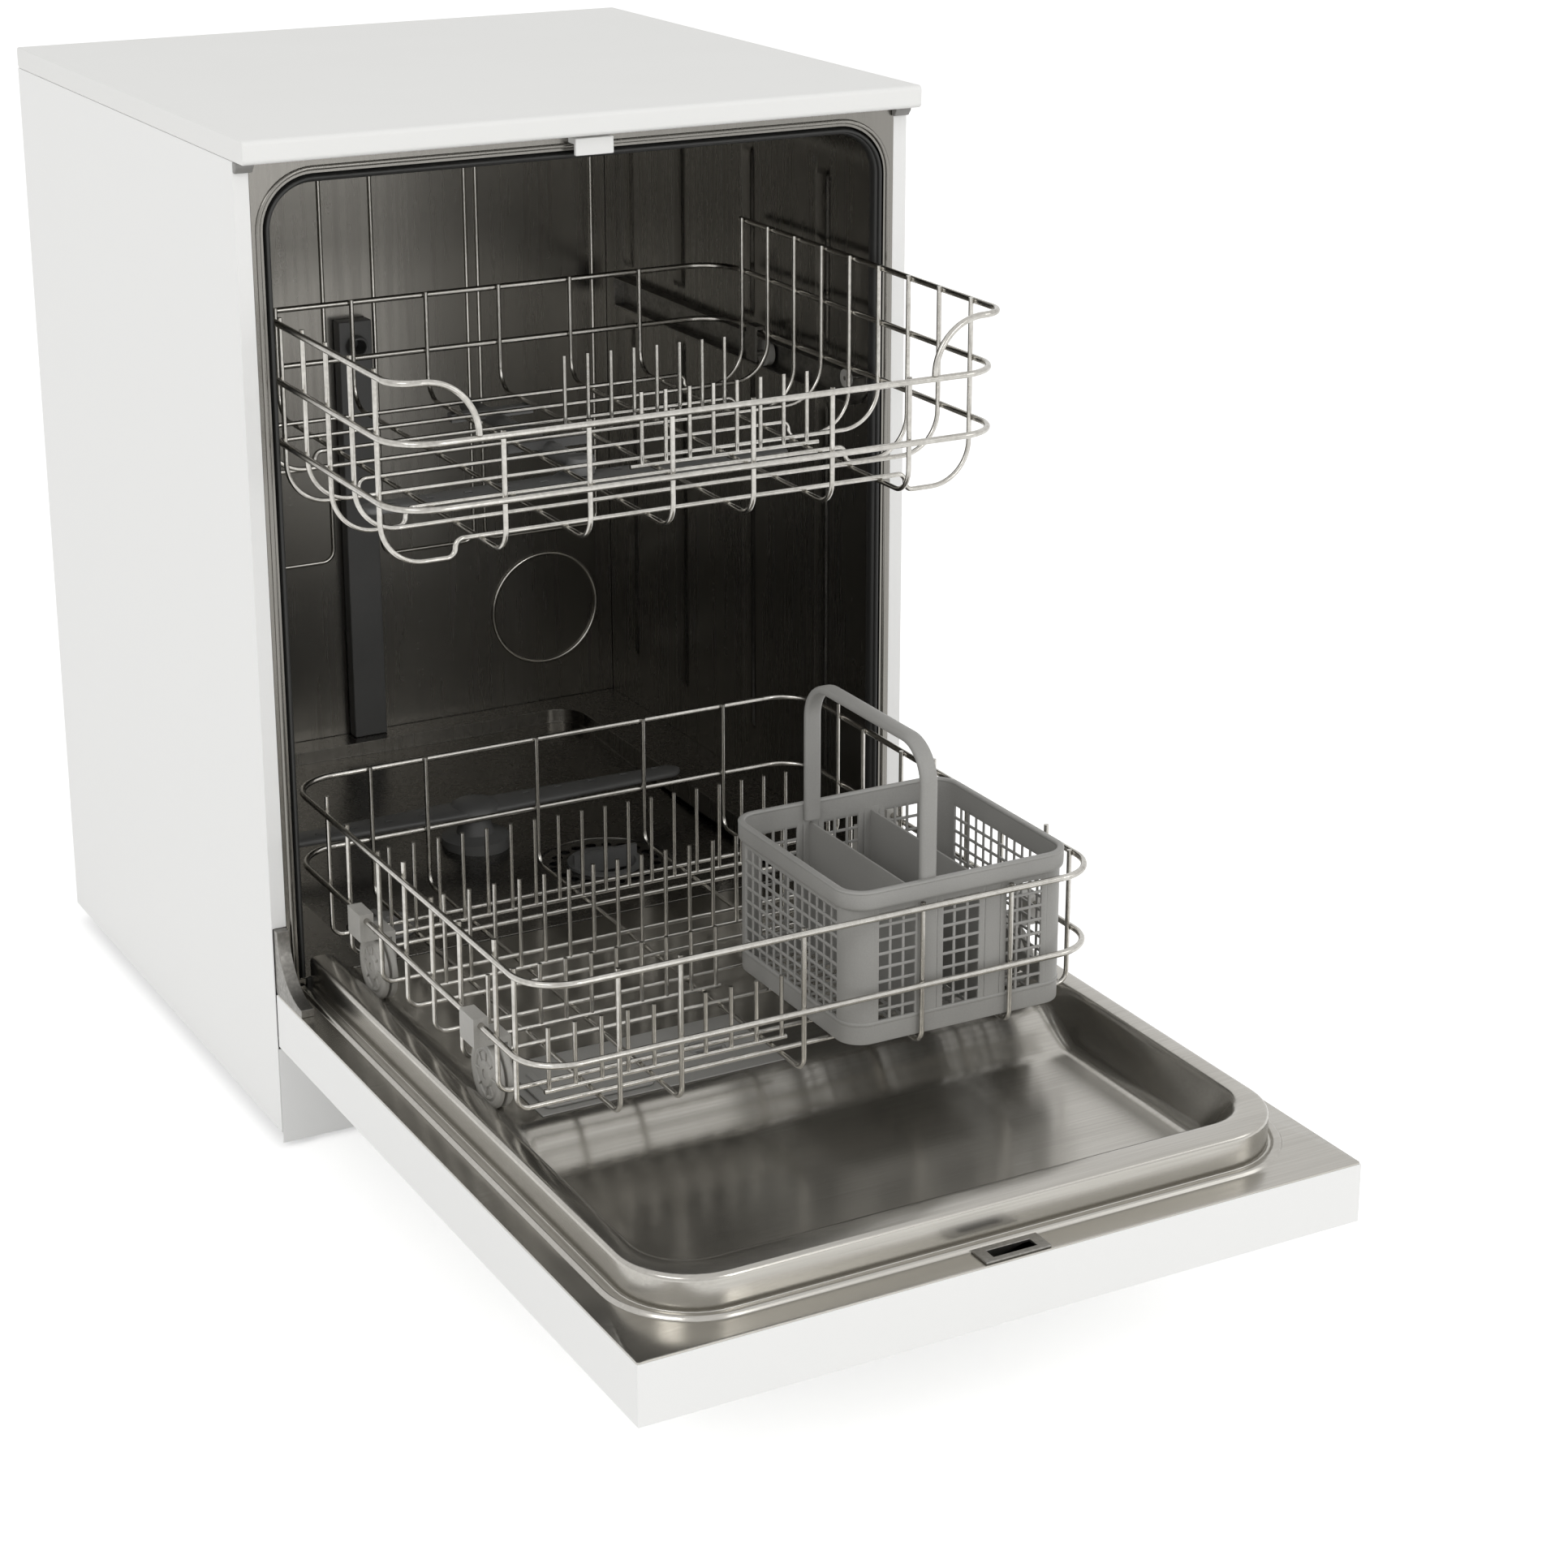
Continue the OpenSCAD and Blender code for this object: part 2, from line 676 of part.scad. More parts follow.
module drain_pump() {
    color(grey) in_frame() {
        translate([sump_x, drain_pump_y, drain_pump_z]) rotate([-90, 0, 0]) rotate_extrude($fn = 48)
            polygon([[0, -46], [18, -46], [22, -42], [22, -10], [28, -6], [28, 16], [24, 20], [0, 20]]);
        box([sump_x - 12, drain_pump_y - 30, foot_gap + tray_floor], [sump_x + 12, drain_pump_y - 12, drain_pump_z - 10]);
    }
}

module inlet_valve() {
    color(grey) in_frame() difference() {
        union() {
            rod_y(cab_d - 40, cab_d, inlet_x, inlet_z, inlet_r + collar);
            rod_y(cab_d - 1, cab_d + inlet_l, inlet_x, inlet_z, inlet_r);
            box([inlet_x - 22, cab_d - 75, foot_gap + tray_floor], [inlet_x + 22, cab_d - 35, inlet_z + 22]);
        }
        rod_y(cab_d - 30, cab_d + inlet_l + 1, inlet_x, inlet_z, 7);
    }
}

module drain_spigot() {
    color(grey) in_frame() difference() {
        union() {
            rod_y(cab_d - 30, cab_d, drain_x, drain_z, drain_r + collar);
            rod_y(cab_d - 1, cab_d + inlet_l - 2, drain_x, drain_z, drain_r);
            box([drain_x - 14, cab_d - 60, foot_gap + tray_floor], [drain_x + 14, cab_d - 28, drain_z + 14]);
        }
        rod_y(cab_d - 40, cab_d + inlet_l, drain_x, drain_z, drain_r - 3);
    }
}

module water_softener() {
    color(white) in_frame() {
        box([salt_x - 80, salt_y - 60, foot_gap + tray_floor], [salt_x + 45, salt_y + 60, softener_top - 12]);
        rod_z(softener_top - 13, softener_top, salt_x, salt_y, 34);
    }
}

// Hinges
module hinge_arms() {
    x0 = tray_x - 6.5;
    color(dark_steel) in_frame() both_sides() difference() {
        union() {
            along_x(strip_x + 0.6, tray_x - run_gap) difference() {
                translate([-hinge_foot, flange_z]) square([hinge_foot, strip_end - flange_z]);
                translate([-hinge_foot, strip_end]) circle(hinge_curve, $fn = 96);
            }
            rod_x(x0, tray_x - run_gap, hinge_y, hinge_z, 9);
        }
        rod_x(x0 - 20, tray_x, hinge_y, hinge_z, hinge_pin_r + run_fit);
    }
}

module hinge_pins() {
    x0 = tray_x - 10;
    color(steel) in_frame() both_sides() {
        box([x0, sheet + 0.4, tray_top], [x0 + 3, 70, strip_end - 2]);
        rod_x(x0, tray_x - 0.5, hinge_y, hinge_z, hinge_pin_r);
    }
}

// Door
module door_shell() {
    color(white) in_frame() difference() {
        box([-shell_x, -door_l, shell_bottom], [shell_x, -1, shell_top]);
        box([-shell_x + sheet, -door_l + sheet, shell_bottom + sheet], [shell_x - sheet, -1 - sheet, shell_top - sheet]);
        box([-shell_x + shell_lip, -door_l + shell_lip, shell_top - 2 * sheet],
            [shell_x - shell_lip, -1 - sheet, shell_top + 1]);
        box([-fascia_x, fascia_y0, shell_bottom - 1], [fascia_x, fascia_y1, shell_bottom + 2 * sheet]);
        box([-latch_x - run_gap, latch_y0 - run_gap, shell_top - 5], [latch_x + run_gap, latch_y1 + run_gap, shell_top + 1]);
    }
}

// Plan of the raised rim, drawn in by the given amount and running on past the hinge end
module rim_plan(side, front, r) rounded([-rim_x + side, rim_y + front], [rim_x - side, 2 * rim_r], r);

// The pan: two levels with a slope between them, and walls that lean outwards
module pan() {
    x = rim_x - rim_w;
    y = rim_y + rim_front_w;
    lean = pan_wall;
    intersection() {
        along_z(pan_z - 1, rim_top + 5) rim_plan(rim_w, rim_front_w, rim_r - rim_w);
        along_y(y - 10, 2 * rim_r) polygon([[-x, rim_top + 6], [-x, rim_top], [-x + lean, pan_z],
            [x - lean, pan_z], [x, rim_top], [x, rim_top + 6]]);
        along_x(-x - 1, x + 1) polygon([[y, rim_top + 6], [y, rim_top], [y + pan_front_slope, pan_z],
            [step_y - step_run, pan_z], [step_y, floor_z], [2 * rim_r, floor_z], [2 * rim_r, rim_top + 6]]);
    }
}

module rolled_bead() {
    off = 2 * bead_r + 1;
    x = rim_x + off;
    y = rim_y - off;
    r = rim_r + off;
    both_sides() {
        rod_y(y + r, liner_end, x, flange_z, bead_r);
        bend_xy([x - r, y + r, flange_z], r, bead_r, 270);
    }
    rod_x(-x + r, x - r, y, flange_z, bead_r);
}

module door_liner() {
    skin = 1.6;
    color(steel) in_frame() difference() {
        union() {
            box([-shell_x + 0.5, -door_l + 0.5, shell_top], [shell_x - 0.5, liner_end, flange_z]);
            along_z(pan_z - skin, rim_top) rim_plan(0, 0, rim_r);
            rolled_bead();
        }
        pan();
        along_z(pan_z - skin - 1, rim_top - skin) difference() {
            rim_plan(skin, skin, rim_r - skin);
            rim_plan(rim_w - skin, rim_front_w - skin, rim_r - rim_w + skin);
        }
        box([-rim_x + rim_w + pan_wall, step_y + 8, pan_z - skin - 1],
            [rim_x - rim_w - pan_wall, liner_end - 6, floor_z - skin]);
        box([-rim_x - 1, liner_end, pan_z - 10], [rim_x + 1, 3 * rim_r, rim_top + 10]);
        box([disp_x0 - weld_gap, disp_y0 - weld_gap, pan_z - 10], [disp_x1 + weld_gap, disp_y1 + weld_gap, floor_z + 1]);
        box([-latch_x - run_gap, latch_y0 - run_gap, shell_top - 5],
            [latch_x + run_gap, latch_y1 + run_gap, flange_z + 1]);
    }
}

module control_fascia() {
    color(white) in_frame() difference() {
        union() {
            box([-fascia_x + run_gap, fascia_y0 + run_gap, shell_bottom],
                [fascia_x - run_gap, fascia_y1 - run_gap, shell_bottom + fascia_t]);
            box([-fascia_x - 4, fascia_y0 - 3, shell_bottom + sheet], [fascia_x + 4, fascia_y1 + 4, shell_bottom + fascia_t]);
            box([-grip_x - 2, grip_y0 - 2, shell_bottom], [grip_x + 2, grip_y1 + 2, shell_bottom + grip_depth + 2]);
        }
        box([-grip_x, grip_y0, shell_bottom - 1], [grip_x, grip_y1, shell_bottom + grip_depth]);
        for (s = [-1, 1]) rod_z(shell_bottom - 1, shell_bottom + 5, s * button_x, control_y, button_r + run_gap);
        rod_z(shell_bottom - 1, shell_bottom + 5, knob_x, control_y, 3 + run_fit);
    }
}

module push_button(x) {
    color(steel) in_frame() {
        rod_z(shell_bottom - 2.5, shell_bottom + 6, x, control_y, button_r);
        rod_z(shell_bottom + fascia_t + run_gap, shell_bottom + 5, x, control_y, button_r + 2);
    }
}
module power_button() push_button(-button_x);
module start_button() push_button(button_x);

module program_knob() {
    color(grey) in_frame() {
        translate([knob_x, control_y, 0]) rotate_extrude($fn = 64) polygon([[0, shell_bottom - 6],
            [knob_r - 1, shell_bottom - 6], [knob_r, shell_bottom - 5], [knob_r, shell_bottom - run_gap],
            [3, shell_bottom - run_gap], [3, shell_bottom + fascia_t + run_gap],
            [6, shell_bottom + fascia_t + run_gap], [6, shell_bottom + 8], [0, shell_bottom + 8]]);
        box([knob_x - knob_r + 2, control_y - 3, shell_bottom - 16], [knob_x + knob_r - 2, control_y + 3, shell_bottom - 5]);
    }
}

module door_latch() {
    color(steel) in_frame() difference() {
        union() {
            box([-latch_x, latch_y0, shell_top - 18], [latch_x, latch_y1, flange_z + 2]);
            box([-latch_x - 3, latch_y0 - 1, flange_z], [latch_x + 3, latch_y1 + 2, flange_z + 2]);
        }
        box([-18, latch_y0 + 4, shell_top - 12], [18, latch_y1 - 4, flange_z + 3]);
    }
}

module dispenser_body() {
    color(grey) in_frame() difference() {
        union() {
            box([disp_x0, disp_y0, shell_bottom + 18], [disp_x1, disp_y1, disp_top]);
            box([disp_x0 - disp_lip, disp_y0 - disp_lip, floor_z], [disp_x1 + disp_lip, disp_y1 + disp_lip, disp_top]);
        }
        along_z(floor_z - 20, disp_top + 1)
            rounded([disp_x0 + 10, disp_y0 + 10], [disp_x0 + lid_w - 10, disp_y1 - 10], 8);
        rod_z(floor_z - 12, disp_top + 1, rinse_x, rinse_y, rinse_r + run_gap);
    }
}

module dispenser_lid() {
    z = disp_top + run_gap;
    color(grey) in_frame() {
        along_z(z, z + lid_t) rounded([disp_x0 + 4, disp_y0 + 4], [disp_x0 + lid_w, disp_y1 - 4], 5);
        box([disp_x0 + 12, rinse_y - 16, z + lid_t], [disp_x0 + 17, rinse_y + 16, z + lid_t + 2.5]);
    }
}

module rinse_aid_cap() {
    color(grey) in_frame() difference() {
        rod_z(floor_z - 12 + run_gap, disp_top, rinse_x, rinse_y, rinse_r);
        difference() {
            rod_z(floor_z - 4, disp_top + 1, rinse_x, rinse_y, rinse_r - 2.5);
            box([rinse_x - rinse_r, rinse_y - 2, floor_z - 5], [rinse_x + rinse_r, rinse_y + 2, disp_top]);
        }
    }
}

// Upper rack
// Side wires go down from the side rail, turn in under the rack, and weld inside the rails
module upper_rack_sides() {
    color(steel) in_frame() both_sides() {
        for (z = [up_low, up_mid, up_high])
            rod_y(z == up_high ? up_y0 + up_return_r : up_y0 + rack_r, up_y1 - rack_r, up_x, z, rail_r);
        for (i = [0:len(up_stations) - 1]) {
            z = up_side_arc + (i % 2 == 0 ? up_dip_z : up_floor);
            rod_z(z, up_high + wire_over, up_in, up_stations[i], wire_r);
            bend_xz([up_in - up_side_arc, up_stations[i], z], up_side_arc, wire_r, 270);
        }
    }
}

module upper_rack_ends() {
    z = up_rod_z + up_hook_r;
    color(steel) in_frame() for (s = [0, 1]) {
        y = s == 0 ? up_y0 : up_y1;
        d = s == 0 ? 1 : -1;
        for (h = [up_low, up_mid]) rod_x(-up_x + rack_r, up_x - rack_r, y, h, rail_r);
        for (x = up_rods) {
            rod_z(z, up_mid + wire_over, x, y + d * weld_off, wire_r);
            bend_yz([x, y + d * (weld_off + up_hook_r), z], up_hook_r, wire_r, 180 + 90 * s);
        }
    }
}

// The rails' corners, and the side rails' ends that turn in and curve down onto the middle rail
module upper_rack_corners() {
    drop = up_high - up_mid - rail_r;
    color(steel) in_frame() both_sides() {
        for (z = [up_low, up_mid]) {
            bend_xy([up_x - rack_r, up_y0 + rack_r, z], rack_r, rail_r, 270);
            bend_xy([up_x - rack_r, up_y1 - rack_r, z], rack_r, rail_r, 0);
        }
        bend_xy([up_x - up_return_r, up_y0 + up_return_r, up_high], up_return_r, rail_r, 270);
        bend_xz([up_x - up_return_r, up_y0, up_high - drop], drop, rail_r, 90);
    }
}

// Cross wires, every other one with a dip near each side, on wires that run from front to back
module upper_rack_floor() {
    x1 = up_in - up_side_arc;
    s = half(up_dip);
    inset = weld_off + up_hook_r;
    color(steel) in_frame() {
        for (i = [0:len(up_stations) - 1]) {
            y = up_stations[i];
            if (i % 2 == 1) rod_x(-x1, x1, y, up_floor, wire_r);
            else {
                rod_x(-up_step_x, up_step_x, y, up_floor, wire_r);
                both_sides() {
                    bend_xz([up_step_x, y, up_floor - s], s, wire_r, 0);
                    bend_xz([up_step_x + 2 * s, y, up_floor - s], s, wire_r, 180);
                    rod_x(up_step_x + 2 * s, x1, y, up_dip_z, wire_r);
                }
            }
        }
        for (x = up_rods) rod_y(up_y0 + inset, up_y1 - inset, x, up_rod_z, wire_r);
    }
}

// A row of tines along x that stands on the wires running from front to back
module tine_row(x0, x1, y, z, h) {
    n = floor((x1 - x0 - 8) / tine_pitch);
    rod_x(x0, x1, y, z, wire_r);
    for (i = [0:n]) rod_z(z, z + h, half(x0 + x1) + (i - half(n)) * tine_pitch, y, tine_r);
}

module upper_tines() {
    z = up_rod_z + 2 * wire_r + weld_gap;
    color(steel) in_frame() for (i = [2, 5])
        tine_row(10, up_x - 76.4, half(up_stations[i] + up_stations[i + 1]), z, up_tine_h);
}

// Brackets that hang on the lowest rail and carry the rollers in the channels
module roller_brackets() {
    x0 = up_in - wire_r - run_gap - 2;
    y = rear_roller_y;
    color(grey) in_frame() both_sides() {
        box([x0, y - 9, rear_roller_z - 6], [x0 + 2, y + 9, up_low + rail_r + 3]);
        box([x0, y - 9, up_low + rail_r], [up_x + 2, y + 9, up_low + rail_r + 3]);
        rod_x(x0, tub_x - rail_t - 1.5, y, rear_roller_z, 2.5);
    }
}

module rear_rollers() {
    x1 = tub_x - rail_t - 2;
    color(grey) in_frame() both_sides() roller(x1 - 6, x1, rear_roller_y, rear_roller_z, rear_roller_r, 2.5 + run_fit);
}

module upper_spray_pipe() {
    y = up_hub_y;
    z = up_pipe_z;
    color(grey) in_frame() difference() {
        union() {
            rod_y(y, up_y1 - 7, 0, z, up_pipe_r);
            rod_z(z - up_pipe_r - 0.3, z + up_pipe_r, 0, y, 12);
            rod_z(up_arm_z - 3, z, 0, y, 5);
            rod_z(up_arm_z - 3.3, up_arm_z - run_gap, 0, y, 9);
            for (c = [60, 180]) box([up_rods[2] - 4, y + c, z], [up_rods[3] + 4, y + c + 10, up_rod_z - wire_r - weld_gap]);
        }
        rod_y(y, up_y1, 0, z, up_pipe_r - 2);
    }
}

module upper_spray_arm() {
    color(grey) in_frame() translate([0, up_hub_y, 0]) difference() {
        spray_arm(up_arm_l, up_arm_z, 5 + run_fit, 0);
        rod_z(up_arm_z + arm_t - 1, up_arm_z + arm_t + 1, 0, 0, 5 + run_fit);
    }
}

// Lower rack
module lower_rack_sides() {
    z = lo_floor + lo_side_arc;
    color(steel) in_frame() both_sides() {
        for (h = [lo_low, lo_top]) rod_y(lo_y0 + rack_r, lo_y1 - rack_r, lo_x, h, rail_r);
        for (i = [0:len(lo_stations) - 1]) {
            rod_z(z, lo_top + (i % 3 == 1 ? 13 : wire_over), lo_in, lo_stations[i], wire_r);
            bend_xz([lo_in - lo_side_arc, lo_stations[i], z], lo_side_arc, wire_r, 270);
        }
    }
}

module lower_rack_ends() {
    z = lo_rod_z + lo_hook_r;
    color(steel) in_frame() for (s = [0, 1]) {
        y = s == 0 ? lo_y0 : lo_y1;
        d = s == 0 ? 1 : -1;
        for (h = [lo_low, lo_top]) rod_x(-lo_x + rack_r, lo_x - rack_r, y, h, rail_r);
        for (x = lo_rods) {
            rod_z(z, lo_top + wire_over, x, y + d * weld_off, wire_r);
            bend_yz([x, y + d * (weld_off + lo_hook_r), z], lo_hook_r, wire_r, 180 + 90 * s);
        }
    }
}

module lower_rack_corners() {
    color(steel) in_frame() both_sides() for (z = [lo_low, lo_top]) {
        bend_xy([lo_x - rack_r, lo_y0 + rack_r, z], rack_r, rail_r, 270);
        bend_xy([lo_x - rack_r, lo_y1 - rack_r, z], rack_r, rail_r, 0);
    }
}

module lower_rack_floor() {
    x1 = lo_in - lo_side_arc;
    inset = weld_off + lo_hook_r;
    color(steel) in_frame() {
        for (y = lo_stations) rod_x(-x1, x1, y, lo_floor, wire_r);
        for (x = lo_rods) rod_y(lo_y0 + inset, lo_y1 - inset, x, lo_rod_z, wire_r);
    }
}

module lower_tines() {
    color(steel) in_frame() {
        for (y = plate_rows) tine_row(-tine_end, tine_end, y, lo_tine_z, lo_tine_h);
        for (y = small_rows) tine_row(-tine_end, -6, y, lo_tine_z, small_tine_h);
    }
}

// Each bracket clips round the lower rail, reaches over its wheel and holds the axle from inside
module wheel_brackets() {
    x0 = wheel_x0 - 3.5;
    top = wheel_z + wheel_r + 2;
    color(grey) in_frame() both_sides() for (y = wheel_ys) difference() {
        union() {
            box([x0, y - 13, wheel_z - 11], [x0 + 3, y + 13, top + 5]);
            box([x0, y - 13, top], [lo_x + 6, y + 13, top + 5]);
            box([lo_x - 6, y - 13, top], [lo_x + 6, y + 13, lo_low + 6]);
            rod_x(x0, wheel_x0 + wheel_w - 1, y, wheel_z, axle_r);
        }
        rod_y(y - 14, y + 14, lo_x, lo_low, rail_r + weld_gap);
    }
}

// Two discs side by side with a groove between them and a dished face
module wheel(side, y) {
    w = wheel_w;
    color(grey) in_frame() translate([side * (wheel_x0 + half(w)), y, wheel_z]) rotate([0, 90, 0])
        rotate_extrude($fn = 96) polygon([[axle_r + run_fit, -half(w)], [11, -half(w)], [12, -half(w) + 2],
            [18, -half(w) + 2], [19, -half(w) + 0.5], [wheel_r - 1, -half(w) + 0.5], [wheel_r, -half(w) + 1.5],
            [wheel_r, -1.5], [wheel_r - 5, -1], [wheel_r - 5, 1], [wheel_r, 1.5], [wheel_r, half(w) - 1.5],
            [wheel_r - 1, half(w) - 0.5], [19, half(w) - 0.5], [18, half(w) - 2], [12, half(w) - 2],
            [11, half(w)], [axle_r + run_fit, half(w)]]);
}
module wheel_front_left() wheel(-1, wheel_ys[0]);
module wheel_front_right() wheel(1, wheel_ys[0]);
module wheel_rear_left() wheel(-1, wheel_ys[1]);
module wheel_rear_right() wheel(1, wheel_ys[1]);

// A grid of square holes that fills a rectangle, without the sheet round it
module grid_holes(w, h) {
    pitch = cell + bar;
    nx = floor((w + bar) / pitch);
    ny = floor((h + bar) / pitch);
    for (i = [0:nx - 1], j = [0:ny - 1])
        translate([half(w - nx * pitch + bar) + i * pitch, half(h - ny * pitch + bar) + j * pitch]) square(cell);
}

module cutlery_basket() {
    low = 12;
    mid_h = basket_h - rim_band - low;
    a = [basket_x0, basket_y0];
    b = [basket_x1, basket_y1];
    t = [basket_wall, basket_wall];
    o = [rim_out, rim_out];
    color(grey) in_frame() {
        difference() {
            union() {
                along_z(basket_z0, basket_top) difference() {
                    rounded(a, b, basket_r);
                    rounded(a + t, b - t, basket_r - basket_wall);
                }
                along_z(basket_top - rim_band, basket_top) difference() {
                    rounded(a - o, b + o, basket_r + rim_out);
                    rounded(a + t, b - t, basket_r - basket_wall);
                }
            }
            for (k = [0:2]) translate([basket_x0 + basket_r + k * (basket_bay + handle_w), 0, basket_z0 + low])
                along_y(basket_y0 - 1, basket_y1 + 1) grid_holes(basket_bay, mid_h);
            translate([0, basket_y0 + basket_r, basket_z0 + low])
                along_x(basket_x0 - 1, basket_x1 + 1) grid_holes(basket_d - 2 * basket_r, mid_h);
        }
        along_z(basket_z0, basket_z0 + basket_wall) difference() {
            rounded(a + t - [0.2, 0.2], b - t + [0.2, 0.2], basket_r - basket_wall);
            translate([basket_x0 + 16, basket_y0 + 16]) grid_holes(basket_w - 32, basket_d - 32);
        }
        for (k = [1, 2]) translate([basket_x0 + basket_r + k * (basket_bay + handle_w) - half(handle_w), 0, 0])
            box([-1, basket_y0 + 1, basket_z0 + 1], [1, basket_y1 - 1, basket_top - rim_band]);
        basket_handle();
    }
}

// The arch that the basket is lifted by runs from its front wall to its back wall
module basket_handle() {
    y0 = basket_y0 + 1;
    y1 = basket_y1 - 1;
    z0 = basket_top - rim_band + 1;
    top = basket_top + handle_h;
    along_x(handle_x, handle_x + handle_w) difference() {
        arch_from(y0, y1, z0, top, handle_r);
        arch_from(y0 + handle_t, y1 - handle_t, z0 - 1, top - handle_t, handle_r - handle_t);
    }
}
module arch_from(y0, y1, z0, z1, r) translate([half(y0 + y1), 0]) arch(half(y1 - y0), z0, z1, r);

base_tray();
levelling_feet();
side_panels();
worktop();
back_panel();
kick_plate();
corner_caps();
tub_wrapper();
tub_back();
tub_floor();
front_frame();
door_gasket();
threshold_seal();
latch_striker();
rack_rails();
front_rollers();
sump();
filter_plate();
filter_cylinder();
salt_cap();
spray_hub();
lower_spray_arm();
feed_duct();
wash_pump();
drain_pump();
inlet_valve();
drain_spigot();
water_softener();
hinge_arms();
hinge_pins();
door_shell();
door_liner();
control_fascia();
power_button();
start_button();
program_knob();
door_latch();
dispenser_body();
dispenser_lid();
rinse_aid_cap();
upper_rack_sides();
upper_rack_ends();
upper_rack_corners();
upper_rack_floor();
upper_tines();
roller_brackets();
rear_rollers();
upper_spray_pipe();
upper_spray_arm();
lower_rack_sides();
lower_rack_ends();
lower_rack_corners();
lower_rack_floor();
lower_tines();
wheel_brackets();
wheel_front_left();
wheel_front_right();
wheel_rear_left();
wheel_rear_right();
cutlery_basket();
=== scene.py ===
import math
import bmesh
import bpy
import json
import numpy as np
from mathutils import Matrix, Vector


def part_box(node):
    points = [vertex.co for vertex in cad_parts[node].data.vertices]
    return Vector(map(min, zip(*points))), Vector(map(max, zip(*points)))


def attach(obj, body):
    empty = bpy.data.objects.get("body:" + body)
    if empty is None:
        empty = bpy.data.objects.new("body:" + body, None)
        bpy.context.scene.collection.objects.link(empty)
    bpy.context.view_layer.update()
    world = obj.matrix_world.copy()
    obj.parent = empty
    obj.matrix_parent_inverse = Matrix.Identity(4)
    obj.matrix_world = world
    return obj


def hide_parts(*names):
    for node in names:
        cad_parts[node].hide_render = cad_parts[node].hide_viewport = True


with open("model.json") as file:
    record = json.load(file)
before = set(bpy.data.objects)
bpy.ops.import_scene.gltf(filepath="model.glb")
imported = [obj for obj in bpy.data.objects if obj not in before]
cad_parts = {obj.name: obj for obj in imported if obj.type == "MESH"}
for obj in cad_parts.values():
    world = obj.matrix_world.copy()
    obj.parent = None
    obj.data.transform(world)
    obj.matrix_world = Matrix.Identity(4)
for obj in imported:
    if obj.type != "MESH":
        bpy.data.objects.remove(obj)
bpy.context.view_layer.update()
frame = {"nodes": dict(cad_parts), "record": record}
print("frame loaded:", len(frame["nodes"]), "nodes")

frontPlane = round(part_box("side_panels")[0][1], 4)


# The two corners of a CAD node's box, in mm from the cabinet's front plane
def boxOf(node):
    return (np.array(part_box(node)) - (0, frontPlane, 0)) * 1000


# Shader helpers: a node with its inputs set or linked, then the shared effects as node groups
def addNode(tree, kind, inputs=None, **props):
    made = tree.nodes.new("ShaderNode" + kind)
    for key, value in props.items():
        setattr(made, key, value)
    for key, value in (inputs or {}).items():
        socket = made.inputs[key]
        if isinstance(value, bpy.types.NodeSocket):
            tree.links.new(value, socket)
        else:
            socket.default_value = value
    return made


def newGroup(name, inputs, outputs):
    group = bpy.data.node_groups.new(name, "ShaderNodeTree")
    for key, (kind, value) in inputs.items():
        socket = group.interface.new_socket(key, in_out="INPUT", socket_type="NodeSocket" + kind)
        socket.default_value = value
    for key, kind in outputs.items():
        group.interface.new_socket(key, in_out="OUTPUT", socket_type="NodeSocket" + kind)
    return group, group.nodes.new("NodeGroupInput").outputs, group.nodes.new("NodeGroupOutput").inputs


def mathNode(tree, operation, a, b=0.0):
    return addNode(tree, "Math", {0: a, 1: b}, operation=operation).outputs[0]


def mapRange(tree, value, low, high, toLow, toHigh):
    return addNode(tree, "MapRange", {"Value": value, "From Min": low, "From Max": high,
                                      "To Min": toLow, "To Max": toHigh}).outputs[0]


def mixColor(tree, factor, a, b):
    made = addNode(tree, "Mix", {0: factor}, data_type="RGBA")
    for index, value in ((6, a), (7, b)):
        if isinstance(value, bpy.types.NodeSocket):
            tree.links.new(value, made.inputs[index])
        else:
            made.inputs[index].default_value = (*value, 1.0)
    return made.outputs[2]


def objectPlace(tree):
    return addNode(tree, "TexCoord").outputs["Object"]


# Brushing: noise stretched along one axis, fine lines on broader streaks
def makeBrushed():
    group, given, gives = newGroup("brushed", {"Stretch": ("Vector", (20, 900, 900)),
                                               "Broad": ("Vector", (3, 60, 60)), "Depth": ("Float", 0.1)},
                                   {"Tone": "Float", "Normal": "Vector"})
    where = objectPlace(group)
    noises = []
    for scale, detail in (("Stretch", 3.0), ("Broad", 2.0)):
        scaled = addNode(group, "VectorMath", {0: where, 1: given[scale]}, operation="MULTIPLY").outputs[0]
        noise = addNode(group, "TexNoise", {"Vector": scaled, "Scale": 1.0, "Detail": detail})
        noises.append(noise.outputs[0])
    tone = mathNode(group, "ADD", mathNode(group, "MULTIPLY", noises[0], 0.55),
                    mathNode(group, "MULTIPLY", noises[1], 0.45))
    bump = addNode(group, "Bump", {"Strength": given["Depth"], "Distance": 0.0002, "Height": noises[0]})
    group.links.new(tone, gives["Tone"])
    group.links.new(bump.outputs[0], gives["Normal"])
    return group


